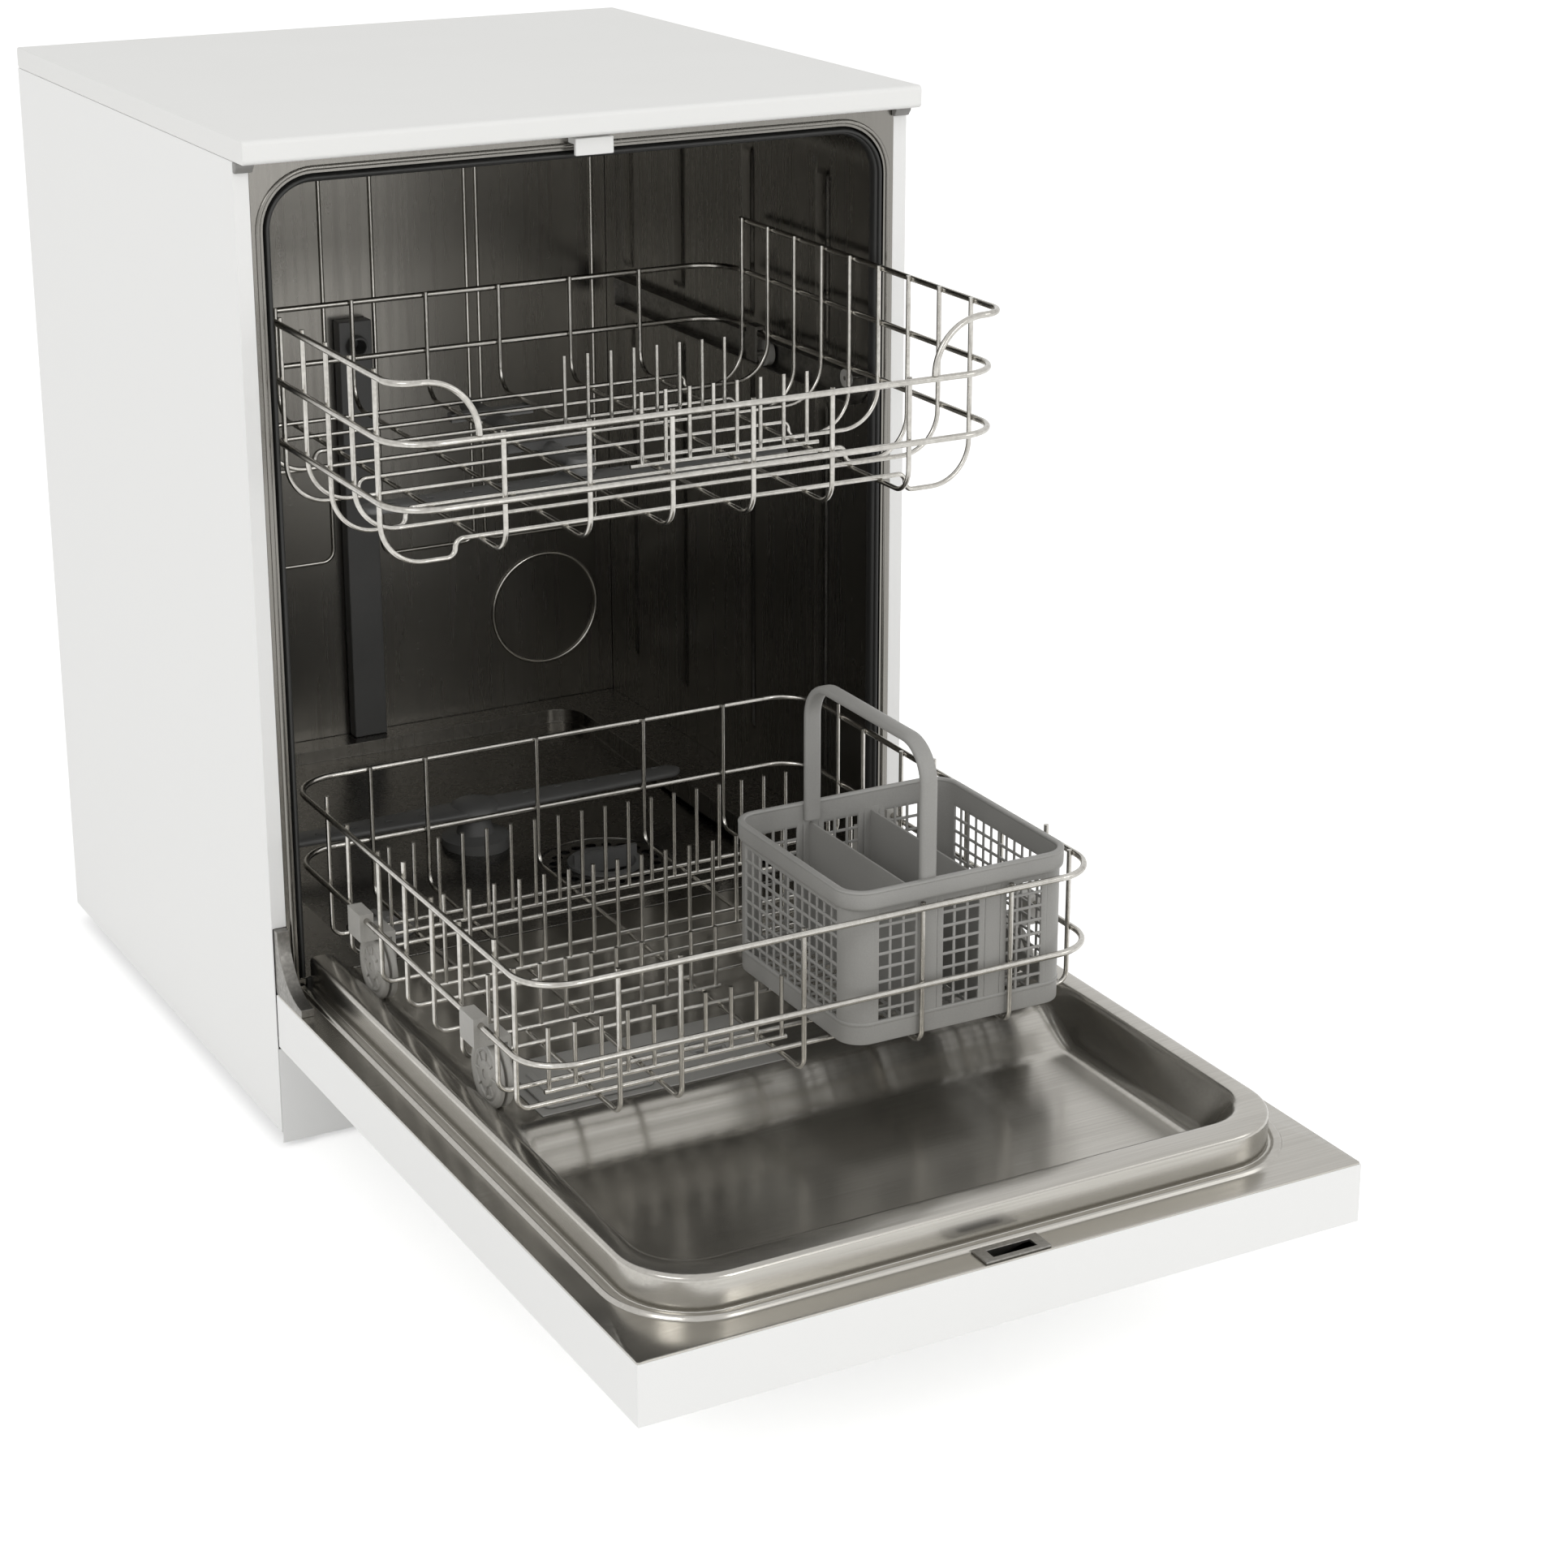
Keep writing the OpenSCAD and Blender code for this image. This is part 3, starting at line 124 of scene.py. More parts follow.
# Moulded grain: small even bumps, and a slow unevenness of tone
def makeGrain():
    group, given, gives = newGroup("grain", {"Scale": ("Float", 900.0), "Depth": ("Float", 0.15)},
                                   {"Tone": "Float", "Normal": "Vector"})
    where = objectPlace(group)
    fine = addNode(group, "TexNoise", {"Vector": where, "Scale": given["Scale"], "Detail": 2.0}).outputs[0]
    slow = addNode(group, "TexNoise", {"Vector": where, "Scale": 14.0, "Detail": 4.0}).outputs[0]
    tone = mathNode(group, "ADD", mathNode(group, "MULTIPLY", fine, 0.35),
                    mathNode(group, "MULTIPLY", slow, 0.65))
    bump = addNode(group, "Bump", {"Strength": given["Depth"], "Distance": 0.0003, "Height": fine})
    group.links.new(tone, gives["Tone"])
    group.links.new(bump.outputs[0], gives["Normal"])
    return group


# Dried water: thin rings round scattered drop centres, only where a slow noise is high
def makeSpots():
    group, given, gives = newGroup("waterSpots", {"Scale": ("Float", 60.0), "Amount": ("Float", 0.5)},
                                   {"Mask": "Float"})
    where = objectPlace(group)
    away = addNode(group, "TexVoronoi", {"Vector": where, "Scale": given["Scale"]}).outputs["Distance"]
    off = mathNode(group, "ABSOLUTE", mathNode(group, "SUBTRACT", away, 0.22))
    noise = addNode(group, "TexNoise", {"Vector": where, "Scale": 7.0}).outputs[0]
    mask = mathNode(group, "MULTIPLY", mapRange(group, off, 0.0, 0.05, 1.0, 0.0),
                    mapRange(group, noise, 0.5, 0.7, 0.0, 1.0))
    group.links.new(mathNode(group, "MULTIPLY", mask, given["Amount"]), gives["Mask"])
    return group


# Settled dust: where the surface looks up, broken up by a soft noise
def makeSettled():
    group, given, gives = newGroup("settled", {"Amount": ("Float", 0.3)}, {"Mask": "Float"})
    up = addNode(group, "SeparateXYZ", {0: addNode(group, "NewGeometry").outputs["Normal"]}).outputs["Z"]
    soft = addNode(group, "TexNoise", {"Vector": objectPlace(group), "Scale": 9.0, "Detail": 5.0})
    mask = mathNode(group, "MULTIPLY", mapRange(group, up, 0.5, 1.0, 0.0, 1.0),
                    mapRange(group, soft.outputs[0], 0.35, 0.75, 0.0, 1.0))
    group.links.new(mathNode(group, "MULTIPLY", mask, given["Amount"]), gives["Mask"])
    return group


# Zinc flowers: flat crystals, each of its own tone
def makeSpangle():
    group, given, gives = newGroup("spangle", {"Scale": ("Float", 90.0)}, {"Tone": "Float"})
    cell = addNode(group, "TexVoronoi", {"Vector": objectPlace(group), "Scale": given["Scale"]})
    tone = addNode(group, "SeparateXYZ", {0: cell.outputs["Color"]}).outputs["X"]
    group.links.new(tone, gives["Tone"])
    return group


effects = {"brushed": makeBrushed(), "grain": makeGrain(), "spots": makeSpots(), "settled": makeSettled(),
           "spangle": makeSpangle()}


# An effect placed in a material with its own values
def useEffect(tree, name, **inputs):
    made = tree.nodes.new("ShaderNodeGroup")
    made.node_tree = effects[name]
    for key, value in inputs.items():
        made.inputs[key].default_value = value
    return made.outputs


def newMaterial(name, sockets):
    made = bpy.data.materials.new(name)
    made.use_nodes = True
    shader = made.node_tree.nodes["Principled BSDF"]
    for key, value in sockets.items():
        shader.inputs[key].default_value = value
    return made, made.node_tree, shader.inputs


# Bare metal: tone and roughness both follow the brushing, and dried water dulls it in spots
def metal(name, dark, light, rough, stretch, broad, depth=0.1, spots=0.0, turned=0.0):
    made, tree, shader = newMaterial(name, {"Metallic": 1.0, "Anisotropic": turned})
    brushed = useEffect(tree, "brushed", Stretch=stretch, Broad=broad, Depth=depth)
    color = mixColor(tree, mapRange(tree, brushed["Tone"], 0.3, 0.7, 0.0, 1.0), dark, light)
    roughness = mapRange(tree, brushed["Tone"], 0.3, 0.7, rough[1], rough[0])
    if spots:
        mask = useEffect(tree, "spots", Amount=spots)["Mask"]
        color = mixColor(tree, mask, color, (0.62, 0.6, 0.57))
        roughness = mathNode(tree, "ADD", roughness, mathNode(tree, "MULTIPLY", mask, 0.3))
    tree.links.new(color, shader["Base Color"])
    tree.links.new(roughness, shader["Roughness"])
    tree.links.new(brushed["Normal"], shader["Normal"])
    return made


# Plastic, paint and rubber: the colour times 1 - spread to 1 + spread with the grain, and dust on top
def plastic(name, color, rough, scale=900.0, depth=0.15, spread=0.12, dust=0.0, **sockets):
    made, tree, shader = newMaterial(name, sockets)
    grain = useEffect(tree, "grain", Scale=scale, Depth=depth)
    tone = mapRange(tree, grain["Tone"], 0.3, 0.7, 0.0, 1.0)
    darker, lighter = ([min(1, c * share) for c in color] for share in (1 - spread, 1 + spread))
    shade = mixColor(tree, tone, darker, lighter)
    if dust:
        shade = mixColor(tree, useEffect(tree, "settled", Amount=dust)["Mask"], shade, (0.62, 0.6, 0.56))
    tree.links.new(shade, shader["Base Color"])
    tree.links.new(mapRange(tree, grain["Tone"], 0.3, 0.7, rough[0], rough[1]), shader["Roughness"])
    tree.links.new(grain["Normal"], shader["Normal"])
    return made


mats = {
    "enamel": plastic("white_enamel", (0.90, 0.90, 0.89), (0.32, 0.36), scale=320, depth=0.0, spread=0.004),
    "laminate": plastic("worktop_laminate", (0.90, 0.90, 0.885), (0.5, 0.58), scale=1500, depth=0.08,
                        spread=0.006, dust=0.03),
    "whitePlastic": plastic("white_plastic", (0.88, 0.88, 0.865), (0.28, 0.38), scale=1100, depth=0.08,
                            spread=0.015),
    "liner": metal("liner_steel", (0.40, 0.385, 0.355), (0.49, 0.475, 0.44), (0.19, 0.26), (10, 500, 500),
                   (1.4, 22, 22), depth=0.015, spots=0.08, turned=0.35),
    # Tub steel: made darker than the liner's steel, as painted shade for the inside of the tub
    "tub": metal("tub_steel", (0.195, 0.187, 0.17), (0.25, 0.24, 0.219), (0.24, 0.3), (160, 160, 6),
                 (12, 12, 1.2), depth=0.006, spots=0.05),
    # Pressed lines and rib slopes: the tub's steel made lighter, as a painted highlight along them
    "line": metal("tub_line_painted_highlight", (0.48, 0.465, 0.43), (0.66, 0.64, 0.6), (0.16, 0.26), (300, 300, 300),
                  (40, 40, 40), depth=0.03),
    "frameSteel": metal("frame_steel", (0.21, 0.202, 0.186), (0.24, 0.231, 0.213), (0.24, 0.29),
                        (300, 300, 12), (12, 12, 2), depth=0.008),
    "wire": metal("rack_wire", (0.40, 0.385, 0.355), (0.60, 0.585, 0.55), (0.16, 0.26), (260, 260, 260),
                  (45, 45, 45), depth=0.04),
    "zinc": metal("zinc_steel", (0.16, 0.155, 0.145), (0.30, 0.29, 0.27), (0.3, 0.45), (300, 300, 300),
                  (30, 30, 30), depth=0.08),
    "rubber": plastic("gasket_rubber", (0.018, 0.018, 0.017), (0.42, 0.6), scale=700, depth=0.2, dust=0.04),
    "foot": plastic("foot_plastic", (0.02, 0.02, 0.02), (0.5, 0.65), dust=0.15),
    "cap": plastic("cap_grey", (0.26, 0.255, 0.245), (0.36, 0.5)),
    "wheel": plastic("wheel_grey", (0.38, 0.37, 0.345), (0.34, 0.48), scale=700, depth=0.1,
                     **{"Subsurface Weight": 0.12, "Subsurface Radius": (0.004, 0.004, 0.004)}),
    "basket": plastic("basket_grey", (0.32, 0.315, 0.30), (0.36, 0.5), scale=800, depth=0.16, spread=0.1),
    "spray": plastic("spray_grey", (0.14, 0.14, 0.137), (0.34, 0.5), scale=900, depth=0.12),
    "dispenser": plastic("dispenser_grey", (0.30, 0.295, 0.28), (0.3, 0.42), scale=900, depth=0.1),
    "machine": plastic("machine_plastic", (0.11, 0.11, 0.11), (0.5, 0.65)),
    "tray": plastic("tray_plastic", (0.05, 0.05, 0.05), (0.5, 0.7), scale=500, depth=0.25, dust=0.2),
    "button": metal("button_metal", (0.45, 0.45, 0.44), (0.62, 0.62, 0.61), (0.22, 0.3), (300, 300, 300),
                    (60, 60, 60), depth=0.05),
}


# Galvanised sheet takes its tone from the zinc flowers
def galvanised():
    made, tree, shader = newMaterial("galvanised_steel", {"Metallic": 1.0})
    tone = useEffect(tree, "spangle", Scale=170.0)["Tone"]
    tree.links.new(mixColor(tree, tone, (0.40, 0.405, 0.41), (0.455, 0.46, 0.465)), shader["Base Color"])
    tree.links.new(mapRange(tree, tone, 0.0, 1.0, 0.38, 0.46), shader["Roughness"])
    tree.links.new(useEffect(tree, "grain", Scale=400.0, Depth=0.05)["Normal"], shader["Normal"])
    return made


mats["galvanised"] = galvanised()

# Which nodes have which finish
nodeMats = {
    "tray": ["base_tray"],
    "foot": ["levelling_feet"],
    "enamel": ["side_panels", "kick_plate", "door_shell"],
    "laminate": ["worktop"],
    "galvanised": ["back_panel"],
    "cap": ["corner_caps", "salt_cap", "program_knob", "rinse_aid_cap"],
    "tub": ["tub_wrapper", "tub_back", "tub_floor"],
    "frameSteel": ["front_frame", "filter_plate"],
    "rubber": ["door_gasket", "threshold_seal"],
    "whitePlastic": ["latch_striker", "water_softener", "control_fascia"],
    "zinc": ["rack_rails", "hinge_arms", "hinge_pins", "door_latch", "roller_brackets"],
    "wheel": ["front_rollers", "rear_rollers", "wheel_brackets", "wheel_front_left", "wheel_front_right",
              "wheel_rear_left", "wheel_rear_right"],
    "machine": ["sump", "wash_pump", "drain_pump", "inlet_valve", "drain_spigot"],
    "spray": ["filter_cylinder", "spray_hub", "lower_spray_arm", "feed_duct", "upper_spray_pipe",
              "upper_spray_arm"],
    "liner": ["door_liner"],
    "button": ["power_button", "start_button"],
    "dispenser": ["dispenser_body", "dispenser_lid"],
    "basket": ["cutlery_basket"],
    "wire": ["upper_rack_sides", "upper_rack_ends", "upper_rack_corners", "upper_rack_floor", "upper_tines",
             "lower_rack_sides", "lower_rack_ends", "lower_rack_corners", "lower_rack_floor",
             "lower_tines"]}
matOf = {}
for key, names in nodeMats.items():
    for name in names:
        matOf[name] = mats[key]
        slots = frame["nodes"][name].data.materials
        slots.clear()
        slots.append(mats[key])
bodyOf = {n: body for body, names in frame["record"]["behaviour"]["bodies"].items() for n in names}
print("materials done:", len(mats))


# A shape gathers point arrays, in mm from the cabinet's front plane, and face arrays that index them
class Shape:
    def __init__(self):
        self.points, self.faces, self.count = [], [], 0

    def add(self, points, *faceSets):
        points = np.asarray(points, float).reshape(-1, 3)
        for faces in faceSets:
            self.faces += (np.asarray(faces) + self.count).tolist()
        self.points.append(points)
        self.count += len(points)
        return self


# A mesh becomes the piece that stands for a CAD node, on its body and in its slot. Edges over the angle stay
# sharp, and the rest is smooth
def finishMesh(name, mesh, node, angle=35, extra=()):
    made = bpy.data.objects.new(name, mesh)
    bpy.context.scene.collection.objects.link(made)
    mesh.materials.clear()
    for mat in (matOf[node], *extra):
        mesh.materials.append(mat)
    mesh.shade_smooth()
    mesh.set_sharp_from_angle(angle=math.radians(angle))
    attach(made, bodyOf[node])
    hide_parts(node)
    return made


# A shape's points in metres, its doubles merged and its faces turned outwards
def meshPiece(name, shape, node, angle=35, extra=()):
    mesh = bpy.data.meshes.new(name)
    mesh.from_pydata(np.concatenate(shape.points) / 1000 + (0, frontPlane, 0), [], shape.faces)
    bm = bmesh.new()
    bm.from_mesh(mesh)
    bmesh.ops.remove_doubles(bm, verts=bm.verts, dist=1e-6)
    bmesh.ops.recalc_face_normals(bm, faces=bm.faces)
    bm.to_mesh(mesh)
    bm.free()
    return finishMesh(name, mesh, node, angle, extra)


# A CAD solid with its sharp edges rounded: flat faces are joined first, then the edges get the radius
def softEdges(node, radius, segments=2, angle=30):
    mesh = frame["nodes"][node].data.copy()
    bm = bmesh.new()
    bm.from_mesh(mesh)
    bmesh.ops.remove_doubles(bm, verts=bm.verts, dist=1e-6)
    bmesh.ops.dissolve_limit(bm, angle_limit=math.radians(1), verts=bm.verts, edges=bm.edges)
    sharp = [e for e in bm.edges if len(e.link_faces) == 2 and e.calc_face_angle(0) > math.radians(angle)]
    bmesh.ops.bevel(bm, geom=sharp, offset=radius, segments=segments, profile=0.5, affect="EDGES",
                    clamp_overlap=True)
    bm.to_mesh(mesh)
    bm.free()
    made = finishMesh(node + "_soft", mesh, node)
    flat = made.modifiers.new("flat faces stay flat", "WEIGHTED_NORMAL")
    flat.keep_sharp = True
    return made


# Four-sided faces between rows of points, closed across a row or from the last row to the first where asked
def gridFaces(rows, cols, closed=False, closedRows=False):
    i, j = np.meshgrid(np.arange(rows if closedRows else rows - 1), np.arange(cols if closed else cols - 1),
                       indexing="ij")
    nextRow, nextCol = (i + 1) % rows * cols, (j + 1) % cols
    return np.stack([i * cols + j, i * cols + nextCol, nextRow + nextCol, nextRow + j], -1).reshape(-1, 4)


# A section carried along a path: point + side * section's first value + up * its second, at each point
def sweep(shape, path, sideways, upwards, section, closedPath=False):
    path, n, m = np.asarray(path, float), len(path), len(section)
    side, up = np.broadcast_to(sideways, path.shape), np.broadcast_to(upwards, path.shape)
    points = path[:, None] + side[:, None] * section[None, :, :1] + up[:, None] * section[None, :, 1:]
    ends = [] if closedPath else [[np.arange(m)], [np.arange((n - 1) * m, n * m)]]
    return shape.add(points, gridFaces(n, m, closed=True, closedRows=closedPath), *ends)


# A closed oval: a cos and b sin of the angle, each drawn towards a rectangle by the power
def ellipse(a, b, count=12, power=2.0):
    turn = np.arange(count) * 2 * math.pi / count
    circle = np.stack([np.cos(turn), np.sin(turn)], 1)
    return (a, b) * np.sign(circle) * np.abs(circle) ** (2 / power)


# A rectangle with round corners: quarter circles round the four corner centres, as points and directions
def roundedPath(x0, x1, y0, y1, r, arc=8):
    turn = (np.linspace(0, math.pi / 2, arc + 1) + np.arange(-1, 3)[:, None] * math.pi / 2).reshape(-1)
    centres = [(x1 - r, y0 + r), (x1 - r, y1 - r), (x0 + r, y1 - r), (x0 + r, y0 + r)]
    outs = np.stack([np.cos(turn), np.sin(turn)], 1)
    return np.repeat(centres, arc + 1, 0) + r * outs, outs


# A profile of (radius, height) turned round an axis: radius * cos and radius * sin of the angle, and the
# height along the axis
def lathe(shape, profile, place, axis="z", steps=64):
    profile = np.asarray(profile, float)
    turn = np.arange(steps) * 2 * math.pi / steps
    ring = np.stack([np.outer(profile[:, 0], np.cos(turn)), np.outer(profile[:, 0], np.sin(turn)),
                     np.repeat(profile[:, 1:], steps, 1)], -1)
    ring = ring[..., {"x": [2, 0, 1], "y": [1, 2, 0], "z": [0, 1, 2]}[axis]]
    return shape.add(ring + np.asarray(place), gridFaces(len(profile), steps, closed=True))


# A polyline whose inner corners are rounded by (1-t)^2 p + 2t(1-t) corner + t^2 q, where p and q lie at the
# given reach from the corner, or at half its shorter side; all lines are worked out at once
def roundCorners(lines, reach, steps=5):
    before, corner, after = lines[:, :-2], lines[:, 1:-1], lines[:, 2:]
    back = np.linalg.norm(before - corner, axis=-1, keepdims=True)
    ahead = np.linalg.norm(after - corner, axis=-1, keepdims=True)
    r = np.minimum(np.minimum(np.asarray(reach, float)[None, :, None], 0.499 * back), 0.499 * ahead)
    p, q = corner + (before - corner) * r / back, corner + (after - corner) * r / ahead
    t = np.linspace(0, 1, steps)[:, None]
    bends = (1 - t) ** 2 * p[:, :, None] + 2 * t * (1 - t) * corner[:, :, None] + t * t * q[:, :, None]
    return np.concatenate([lines[:, :1], bends.reshape(len(lines), -1, 3), lines[:, -1:]], 1)


# A smooth step from 0 at low to 1 at high: t^2 (3 - 2t)
def smooth(value, low, high):
    t = np.clip((np.asarray(value, float) - low) / (high - low), 0, 1)
    return t * t * (3 - 2 * t)


# Cuts a rectangle, seen along z, out of the faces that lie between two heights
def cutWindow(mesh, *sides):
    x0, x1, y0, y1, z0, z1 = (v / 1000 for v in sides)
    y0, y1 = y0 + frontPlane, y1 + frontPlane
    bm = bmesh.new()
    bm.from_mesh(mesh)
    for place, axis in (((x0, 0, 0), (1, 0, 0)), ((x1, 0, 0), (1, 0, 0)), ((0, y0, 0), (0, 1, 0)),
                        ((0, y1, 0), (0, 1, 0))):
        near = [f for f in bm.faces if z0 < f.calc_center_median().z < z1]
        geom = near + [e for f in near for e in f.edges] + [v for f in near for v in f.verts]
        bmesh.ops.bisect_plane(bm, geom=list(dict.fromkeys(geom)), plane_co=place, plane_no=axis)
    inside = [f for f in bm.faces if x0 < f.calc_center_median().x < x1
              and y0 < f.calc_center_median().y < y1 and z0 < f.calc_center_median().z < z1]
    bmesh.ops.delete(bm, geom=inside, context="FACES")
    bm.to_mesh(mesh)
    bm.free()


# Door liner: one section, from the flange over the bead and the rim down into the pan, carried along a U.
# Each row is (distance from the sides, from the front, corner radius, height, rounding reach). Heights are
# above the door's inner face, and None is the pan's own height. The step between the pan's two levels is
# given as distances from the hinge side, and a window as what it leaves of a node's box at its four sides
# and its two heights. Along a side, points stand closer over the step: their counts are those before it,
# over it and after it, with the places from which they start
liner = {"rows": [(0, 0, 2, 0, 0), (0, 0, 2, 1.2, 0.5), (18, 23, 71.5, 1.2, 0.8),
                  (19.9, 24.9, 69.6, 4.1, 1.4), (25.1, 30.1, 64.4, 4.1, 1.4), (26.9, 31.9, 62.6, 1.3, 0.8),
                  (29.5, 34.5, 60, 1.3, 1.6), (29.5, 34.5, 60, 28.2, 4.5), (47.5, 62.5, 42, 28.2, 5.5),
                  (65, 95.5, 28, None, 13), (83.5, 114.5, 20, None, 0)],
         "pan": -12, "floor": 10, "step": (328, 388), "arc": 12, "front": 26, "counts": (22, 26, 8),
         "before": 13, "inside": 7, "after": (29, 69, 109),
         "windows": {"door_latch": (2.7, 2.7, 0.7, 1.7, 0.5, 2), "dispenser_body": (3, 3, 3, 3, 7, 12)}}
linerLow, linerHigh = boxOf("door_liner").round(3)
doorFace = boxOf("door_shell")[1][2].round(3)
stepStart, stepEnd = linerHigh[1] - np.array(liner["step"])


# The pan's height: its low level, and the smooth step up to its high one
def panHeight(y):
    return doorFace + liner["pan"] + (liner["floor"] - liner["pan"]) * smooth(y, stepEnd, stepStart)


# The U of one row: down one side, round a quarter circle, across the front and back up the other side
def linerPath(half, front, radius):
    before, over, after = liner["counts"]
    *single, last = stepEnd - np.array(liner["after"])
    down = np.concatenate([np.linspace(linerHigh[1], stepStart + liner["before"], before),
                           np.linspace(stepStart + liner["inside"], stepEnd - liner["inside"], over),
                           single, np.linspace(last, front + radius, after)])
    turn = np.linspace(0, math.pi / 2, liner["arc"])[1:]
    left = np.concatenate([np.column_stack([np.full(len(down), -half), down]),
                           np.column_stack([radius - half - radius * np.cos(turn),
                                            front + radius - radius * np.sin(turn)])])
    across = np.linspace(radius - half, half - radius, liner["front"])[1:-1]
    middle = np.column_stack([across, np.full(len(across), front)])
    return np.concatenate([left, middle, left[::-1] * (-1, 1)])


def doorLiner():
    rings = []
    for side, front, radius, height, _ in liner["rows"]:
        flat = linerPath(linerHigh[0] - side, linerLow[1] + front, radius)
        heights = panHeight(flat[:, 1]) if height is None else np.full(len(flat), doorFace + height)
        rings.append(np.column_stack([flat, heights]))
    lines = roundCorners(np.stack(rings, 1), [row[4] for row in liner["rows"][1:-1]])
    shape = Shape().add(lines, gridFaces(*lines.shape[:2]))
    inner = lines[:, -1]
    pairs = (len(inner) - liner["front"]) // 2 + 1
    share = np.linspace(0, 1, liner["front"])[:, None]
    across = inner[:pairs, None] * (1 - share) + inner[::-1][:pairs, None] * share
    shape.add(across, gridFaces(*across.shape[:2]))
    made = meshPiece("liner_pressed", shape, "door_liner", angle=50)
    for node, (left, right, front, rear, bottom, top) in liner["windows"].items():
        low, high = boxOf(node).round(3)
        cutWindow(made.data, low[0] + left, high[0] - right, low[1] + front, high[1] - rear,
                  doorFace + bottom, doorFace + top)
    return made


doorLiner()


# The tub's section: an arch of two straight sides and two quarter circles, as points and outward directions
def archPath(half, low, high, radius, straight=2, arc=12):
    turn = np.concatenate([np.zeros(straight - 1), np.linspace(0, math.pi / 2, arc)])
    z = np.concatenate([np.linspace(low, high - radius, straight)[:-1],
                        high - radius + radius * np.sin(turn[straight - 1:])])
    points = np.column_stack([half - radius + radius * np.cos(turn), z])
    outs = np.column_stack([np.cos(turn), np.sin(turn)])
    return np.concatenate([points, points[::-1] * (-1, 1)]), np.concatenate([outs, outs[::-1] * (-1, 1)])


# Tub wrapper: the arch drawn back along y, pushed in by ribs: height * a plateau across y * one along z.
# Ribs are distances behind the front plane, bands are heights, the edge is how wide a rib's slope is, and
# past a tilt along y a face gets the lighter steel as a painted highlight
tub = {"wall": 1.2, "radius": 42, "ribs": (90, 230, 370, 480), "ribWidth": 26, "ribHeight": 2.0,
       "bands": ((200, 556), (604, 765)), "edge": 5, "paintedHighlightTilt": 0.3, "columns": 25, "rows": 20, "arc": 14}
tubLow, tubHigh = boxOf("tub_wrapper").round(3)
tubHigh -= (tub["wall"], 0, tub["wall"])


# A plateau between two places: the smooth step up over the edge after start, times the one down before end
def plateau(value, start, end, edge):
    return smooth(value, start, start + edge) * (1 - smooth(value, end - edge, end))


def tubWrapper():
    edge, width, radius = tub["edge"], tub["ribWidth"], tub["radius"]
    ribs, (starts, ends) = np.array(tub["ribs"])[:, None], np.array(tub["bands"]).T[..., None]
    slope, rise = np.linspace(-1, edge, 7), np.linspace(0, 2 * edge, 8)
    ys = np.concatenate([np.linspace(tubLow[1], tubHigh[1], tub["columns"]), (ribs + slope).ravel(),
                         (ribs + width - slope).ravel()])
    ys = np.unique(ys[ys <= tubHigh[1]].round(1))
    high = tubHigh[2] - radius
    zs = np.unique(np.concatenate([np.linspace(tubLow[2], high, tub["rows"]), (starts + rise).ravel(),
                                   (ends - rise).ravel()]).round(1))
    bend = np.linspace(0, math.pi / 2, tub["arc"])[1:]
    x = np.concatenate([np.full(len(zs), tubHigh[0]), tubHigh[0] - radius + radius * np.cos(bend)])
    z = np.concatenate([zs, high + radius * np.sin(bend)])
    along = plateau(z, starts, ends, 2 * edge).sum(0)
    across = plateau(ys, ribs, ribs + width, edge).sum(0)
    push = tub["ribHeight"] * along[:, None] * across
    right = np.stack(np.broadcast_arrays(x[:, None] - push, ys, z[:, None]), -1)
    both = np.concatenate([right, right[::-1] * (-1, 1, 1)])
    shape = Shape().add(both, gridFaces(*both.shape[:2]))
    made = meshPiece("tub_pressed_sides", shape, "tub_wrapper", angle=60, extra=(mats["line"],))
    # Faces on the ribs' slopes that lean towards the front or back take the lighter line steel, a painted
    # highlight
    normals = np.empty(3 * len(made.data.polygons))
    made.data.polygons.foreach_get("normal", normals)
    paintedHighlightFaces = np.abs(normals.reshape(-1, 3)[:, 1]) > tub["paintedHighlightTilt"]
    made.data.polygons.foreach_set("material_index", paintedHighlightFaces.astype(int))
    return made


tubWrapper()


# Tub back: a flat arch with half-round pressed lines along round-cornered outlines and two circles.
# An outline is (left, right, low, high, corner radius) and a circle (x, height, radius)
backWall = {"outlines": [(-262, -134, 330, 735, 12), (-126, -24, 330, 735, 12), (24, 126, 330, 735, 12),
                         (134, 262, 330, 735, 12), (-222, -24, 748, 800, 10), (24, 222, 748, 800, 10)],
            "circles": [(-200, 250, 57.5), (200, 250, 57.5)], "circleSteps": 72, "line": (2.1, 1.9),
            "inset": 2, "sunk": 0.6, "behind": 1}


def tubBack():
    behind, inset, y = backWall["behind"], backWall["inset"], tubHigh[1] + backWall["behind"]
    path, _ = archPath(tubHigh[0] + behind, tubLow[2], tubHigh[2] + behind, tub["radius"] + behind,
                       straight=4, arc=tub["arc"])
    shape = Shape().add(np.insert(path, 1, y, axis=1), [np.arange(len(path))])
    lines = [roundedPath(left + inset, right - inset, low + inset, high - inset, r)
             for left, right, low, high, r in backWall["outlines"]]
    turn = np.arange(backWall["circleSteps"]) * 2 * math.pi / backWall["circleSteps"]
    outs = np.stack([np.cos(turn), np.sin(turn)], 1)
    lines += [(np.array((x, z)) + r * outs, outs) for x, z, r in backWall["circles"]]
    for points, outs in lines:
        sweep(shape, np.insert(points, 1, y - backWall["sunk"], axis=1), np.insert(outs, 1, 0, axis=1),
              (0, 1, 0), ellipse(*backWall["line"], 10), closedPath=True)
    made = meshPiece("tub_pressed_back", shape, "tub_back", angle=50, extra=(mats["line"],))
    # All faces after the flat arch are the pressed lines, and they take the lighter line steel as a painted
    # highlight
    made.data.polygons.foreach_set("material_index", np.minimum(np.arange(len(made.data.polygons)), 1))
    return made


tubBack()


# Back panel: thin sheet with three upright beads pressed in, each depth * a plateau across x * one along z
back = {"inset": 113.8, "width": 24, "low": 68, "high": 51, "depth": 5, "edge": 6, "sheet": 0.8}


